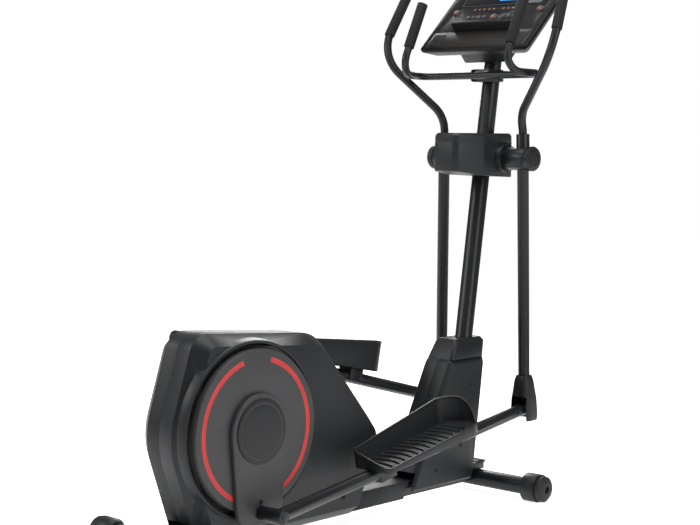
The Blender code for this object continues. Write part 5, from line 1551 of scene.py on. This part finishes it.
MATERIALS = {
    "frame_paint": surface("frame_paint_satin", (0.0052, 0.0062, 0.0076), 0.36, 900, 0.00012),
    "moulded_black": surface("moulded_black_grain", (0.0056, 0.0066, 0.0080), 0.46, 1400, 0.00016),
    "disc_grey": surface("disc_grey_satin", (0.036, 0.035, 0.037), 0.46, 1200, 0.00010),
    "cap_black": surface("cap_black_satin", (0.0040, 0.0046, 0.0056), 0.42, 1200, 0.00010),
    "foam": surface("foam_skin", (0.0075, 0.0078, 0.0085), 0.86, 650, 0.00045),
    "steel": surface("steel_brushed", (0.50, 0.50, 0.51), 0.30, 500, 0.00006, 1.0, stretch=(1, 8, 8)),
    "cast_iron": surface("iron_turned", (0.10, 0.10, 0.11), 0.48, 400, 0.00020, 1.0, stretch=(1, 6, 6)),
    "belt_rubber": surface("belt_ribbed", (0.015, 0.015, 0.015), 0.78, 700, 0.00030),
    "wheel_rubber": surface("wheel_moulded", (0.0110, 0.0110, 0.0120), 0.60, 900, 0.00020),
    "dark_glass": surface("lens_gloss", (0.003, 0.004, 0.006), 0.14, 60, 0.00001),
    # Orange key plastic with a faint emission: a painted glow standing for the glints on the keys.
    "key_plastic": surface(
        "key_satin", (0.030, 0.014, 0.009), 0.42, 900, 0.00006, glow=((1.0, 0.30, 0.08), 0.015),
    ),
    "ring_red": surface("printed_red", (0.50, 0.022, 0.022), 0.42, 1200, 0.00004),
    "ring_tan": surface("printed_tan", (0.085, 0.050, 0.040), 0.44, 1200, 0.00004),
    "screw_black": surface("screw_blacked", (0.006, 0.006, 0.007), 0.36, 600, 0.00006, 0.3),
    # A lighter grey for the pedal's rim bead: a painted highlight for the rim's shine.
    "edge_gloss": surface("edge_gloss", (0.16, 0.165, 0.17), 0.22, 900, 0.00003),
    "console_black": surface(
        "console_black_satin", (0.0024, 0.0025, 0.0030), 0.42, 1400, 0.00008, shine=0.12,
    ),
    "panel_grey": surface("panel_satin", (0.011, 0.0096, 0.0088), 0.40, 1500, 0.00006, shine=0.18),
    "soft_key": surface("soft_key_matte", (0.012, 0.012, 0.014), 0.50, 900, 0.00006),
    # Orange print with a faint emission: a painted glow that the printed dots and marks do not give
    # off.
    "glowing_dot_print": surface(
        "printed_orange", (0.16, 0.060, 0.025), 0.45, 900, 0.00003, glow=((1.0, 0.42, 0.14), 0.04),
    ),
    "screen_blue": surface(
        "screen_lit", (0.010, 0.060, 0.16), 0.20, 300, 0.00001, glow=((0.05, 0.35, 1.0), 1.0),
    ),
}


# ---------------------------------------------------------------- finishing


def finish_pieces(assembly):
    """Evaluates every piece, moves it into the part's frame and hangs it on its body."""
    low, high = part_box("crank_axle")
    assembly.location.y = (low.y + high.y) / 2
    for obj, _, _, _, bevel in SHOWN:
        if bevel:
            edge = obj.modifiers.new("edge", "BEVEL")
            edge.width = bevel
            edge.segments = 2
            edge.limit_method = "ANGLE"
            edge.angle_limit = math.radians(40)
            edge.use_clamp_overlap = True
    bpy.context.view_layer.update()
    graph = bpy.context.evaluated_depsgraph_get()
    pieces = []
    for obj, node, body, slot, _ in SHOWN:
        mesh = bpy.data.meshes.new_from_object(obj.evaluated_get(graph))
        mesh.transform(obj.matrix_world)
        if obj.matrix_world.determinant() < 0:
            mesh.flip_normals()
        mesh.materials.clear()
        mesh.materials.append(MATERIALS["console_black" if node == "console_face" else slot])
        mesh.shade_smooth()
        mesh.set_sharp_from_angle(angle=SMOOTH_ANGLE)
        pieces.append((mesh, node + "_form" if node else obj.name, node, body, slot))
    for obj in list(bpy.data.objects):
        if "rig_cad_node" not in obj and not obj.name.startswith("body:"):
            bpy.data.objects.remove(obj, do_unlink=True)
    for mesh, name, node, body, slot in pieces:
        piece = bpy.data.objects.new(name, mesh)
        bpy.context.scene.collection.objects.link(piece)
        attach(piece, body)
        if node:
            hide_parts(node)


def paint_inner_nodes():
    """The nodes that no piece stands for keep their own shape and take a finish."""
    for name, obj in frame["nodes"].items():
        obj.data.materials.clear()
        obj.data.materials.append(MATERIALS[SLOT_OF[name]])
        if not obj.hide_render:
            obj.data.shade_smooth()
            obj.data.set_sharp_from_angle(angle=SMOOTH_ANGLE)


# ---------------------------------------------------------------- studio


def lathe_floor(name, radius):
    """A round sheet of paper just under the feet."""
    outline = [(radius * a, radius * b, -0.0005) for a, b in circle(1.0, 32)]
    mesh = bpy.data.meshes.new(name)
    mesh.from_pydata(outline, [], [list(range(len(outline)))])
    obj = bpy.data.objects.new(name, mesh)
    bpy.context.scene.collection.objects.link(obj)
    return obj


def sweep_paper():
    """White paper that stays bright under soft light."""
    paper = surface("sweep_paper", (0.90, 0.90, 0.90), 0.90, 200, 0.00002, mottle=0.01)
    shader = paper.node_tree.nodes["Principled BSDF"]
    shader.inputs["Emission Color"].default_value = (1, 1, 1, 1)
    shader.inputs["Emission Strength"].default_value = PAPER_GLOW
    return paper


def studio():
    """White paper under the machine, broad soft lights and the viewing camera."""
    scene = bpy.context.scene
    target = Vector(CAMERA_TARGET)
    place = Vector(CAMERA_PLACE)
    ahead = (target - place).normalized()
    right = ahead.cross(Vector((0, 0, 1))).normalized()
    up = right.cross(ahead)
    tilt = math.radians(CAMERA_ROLL)
    turned = right * math.cos(tilt) + up * math.sin(tilt)
    raised = up * math.cos(tilt) - right * math.sin(tilt)
    camera = bpy.data.objects.new("camera", bpy.data.cameras.new("camera"))
    scene.collection.objects.link(camera)
    camera.matrix_world = Matrix.Translation(place) @ Matrix(
        (turned, raised, -ahead)
    ).transposed().to_4x4()
    camera.data.sensor_width = 36.0
    camera.data.lens = CAMERA_LENS
    camera.data.clip_end = 60
    scene.camera = camera

    paper = lathe_floor("paper", PAPER_RADIUS)
    paper.data.materials.append(sweep_paper())

    lights = (
        ("key", (-2.6, -3.4, 3.0), (2.0, 1.6), 90), ("side", (3.6, 0.4, 2.2), (0.9, 2.4), 60),
        ("top", (0.2, -0.2, 3.6), (2.4, 2.4), 90), ("back", (-2.4, 2.6, 2.6), (1.2, 2.0), 90),
    )
    for name, spot, size, power in lights:
        data = bpy.data.lights.new(name, "AREA")
        data.shape = "RECTANGLE"
        data.size, data.size_y = size
        data.energy = power
        lamp = bpy.data.objects.new(name, data)
        lamp.location = spot
        lamp.rotation_euler = (Vector((0, 0, 0.6)) - Vector(spot)).to_track_quat("-Z", "Y").to_euler()
        scene.collection.objects.link(lamp)
    world = bpy.data.worlds.new("studio")
    world.use_nodes = True
    tree = world.node_tree
    background = tree.nodes["Background"]
    background.inputs["Color"].default_value = (1, 1, 1, 1)
    seen = tree.nodes.new("ShaderNodeLightPath")
    level = tree.nodes.new("ShaderNodeMapRange")
    level.inputs["To Min"].default_value = 0.25
    level.inputs["To Max"].default_value = 1.0
    tree.links.new(seen.outputs["Is Camera Ray"], level.inputs["Value"])
    tree.links.new(level.outputs["Result"], background.inputs["Strength"])
    scene.world = world
    scene.view_settings.view_transform = "Standard"
    scene.view_settings.look = "None"
    scene.view_settings.exposure = 0.0


# ---------------------------------------------------------------- assembly


def build_frame(assembly):
    for name, y in (("front_stabilizer", FRONT_STABILIZER_Y), ("rear_stabilizer", REAR_STABILIZER_Y)):
        stabilizer(name, y, assembly)
    for side in (1, -1):
        end_cap(side_name("front_end_cap", side), side, FRONT_STABILIZER_Y, FRONT_CAP_RADIUS, assembly)
        end_cap(side_name("rear_end_cap", side), side, REAR_STABILIZER_Y, REAR_CAP_RADIUS, assembly)
        end_wheel(
            side_name("transport_wheel", side), side, FRONT_STABILIZER_Y, WHEEL_RADIUS, 0.0, assembly,
        )
        end_wheel(
            side_name("levelling_cap", side), side, REAR_STABILIZER_Y, LEVELLER_RADIUS, LEVELLER_THROW,
            assembly,
        )
    main_rail(assembly)
    mast(assembly)


def build_covers(assembly):
    for side in (1, -1):
        shroud_half(side, assembly)
        mast_cover_half(side, assembly)
        shroud_screws(side, assembly)
    rail_cover(assembly)
    mast_cover_cap(assembly)
    pivot_housing(assembly)
    accessory_tray(assembly)
    clamp_plates(assembly)


def build_crank(assembly):
    crank = empty("crank_axis", assembly, (0, 0, CRANK_Z))
    for side in (1, -1):
        crank_disc(side, crank)
        crank_cover(side, crank)
        disc_ring(side, crank)
        crank_cover_trim(side, crank)


def build_arms(assembly):
    for side in (1, -1):
        swing = empty(side_name("swing_axis", side), assembly, (0, PIVOT_Y, PIVOT_Z), swing_rest(side))
        swing_arm(side, swing)
        handle_and_grip(side, swing)
        pivot_cap(side, swing)
        pivot_cap_trim(side, swing)
        lever_bolts(side, swing)
        clevis_cover(side, swing)
        tilt = pedal_arm_rest(side) - swing_rest(side)
        arm = empty(side_name("pedal_arm_axis", side), swing, (0, 0, -SWING_LENGTH), tilt)
        tray = pedal_arm(side, arm)
        pedal(side, tray)
        pedal_ribs(side, tray)
        pedal_edge(side, tray)


def build_console(assembly):
    face = empty("console_frame", assembly, (0, CONSOLE_Y, CONSOLE_Z), CONSOLE_TILT)
    console_face(face)
    console_keys(face)
    display_lens(face)
    console_housing(face, assembly)
    console_trim(face)
    key_marks(face)


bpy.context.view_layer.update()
trainer = empty("trainer", None, (0, 0, 0))
build_frame(trainer)
build_covers(trainer)
build_crank(trainer)
build_arms(trainer)
pulse_handlebar(trainer)
build_console(trainer)
finish_pieces(trainer)
paint_inner_nodes()
studio()
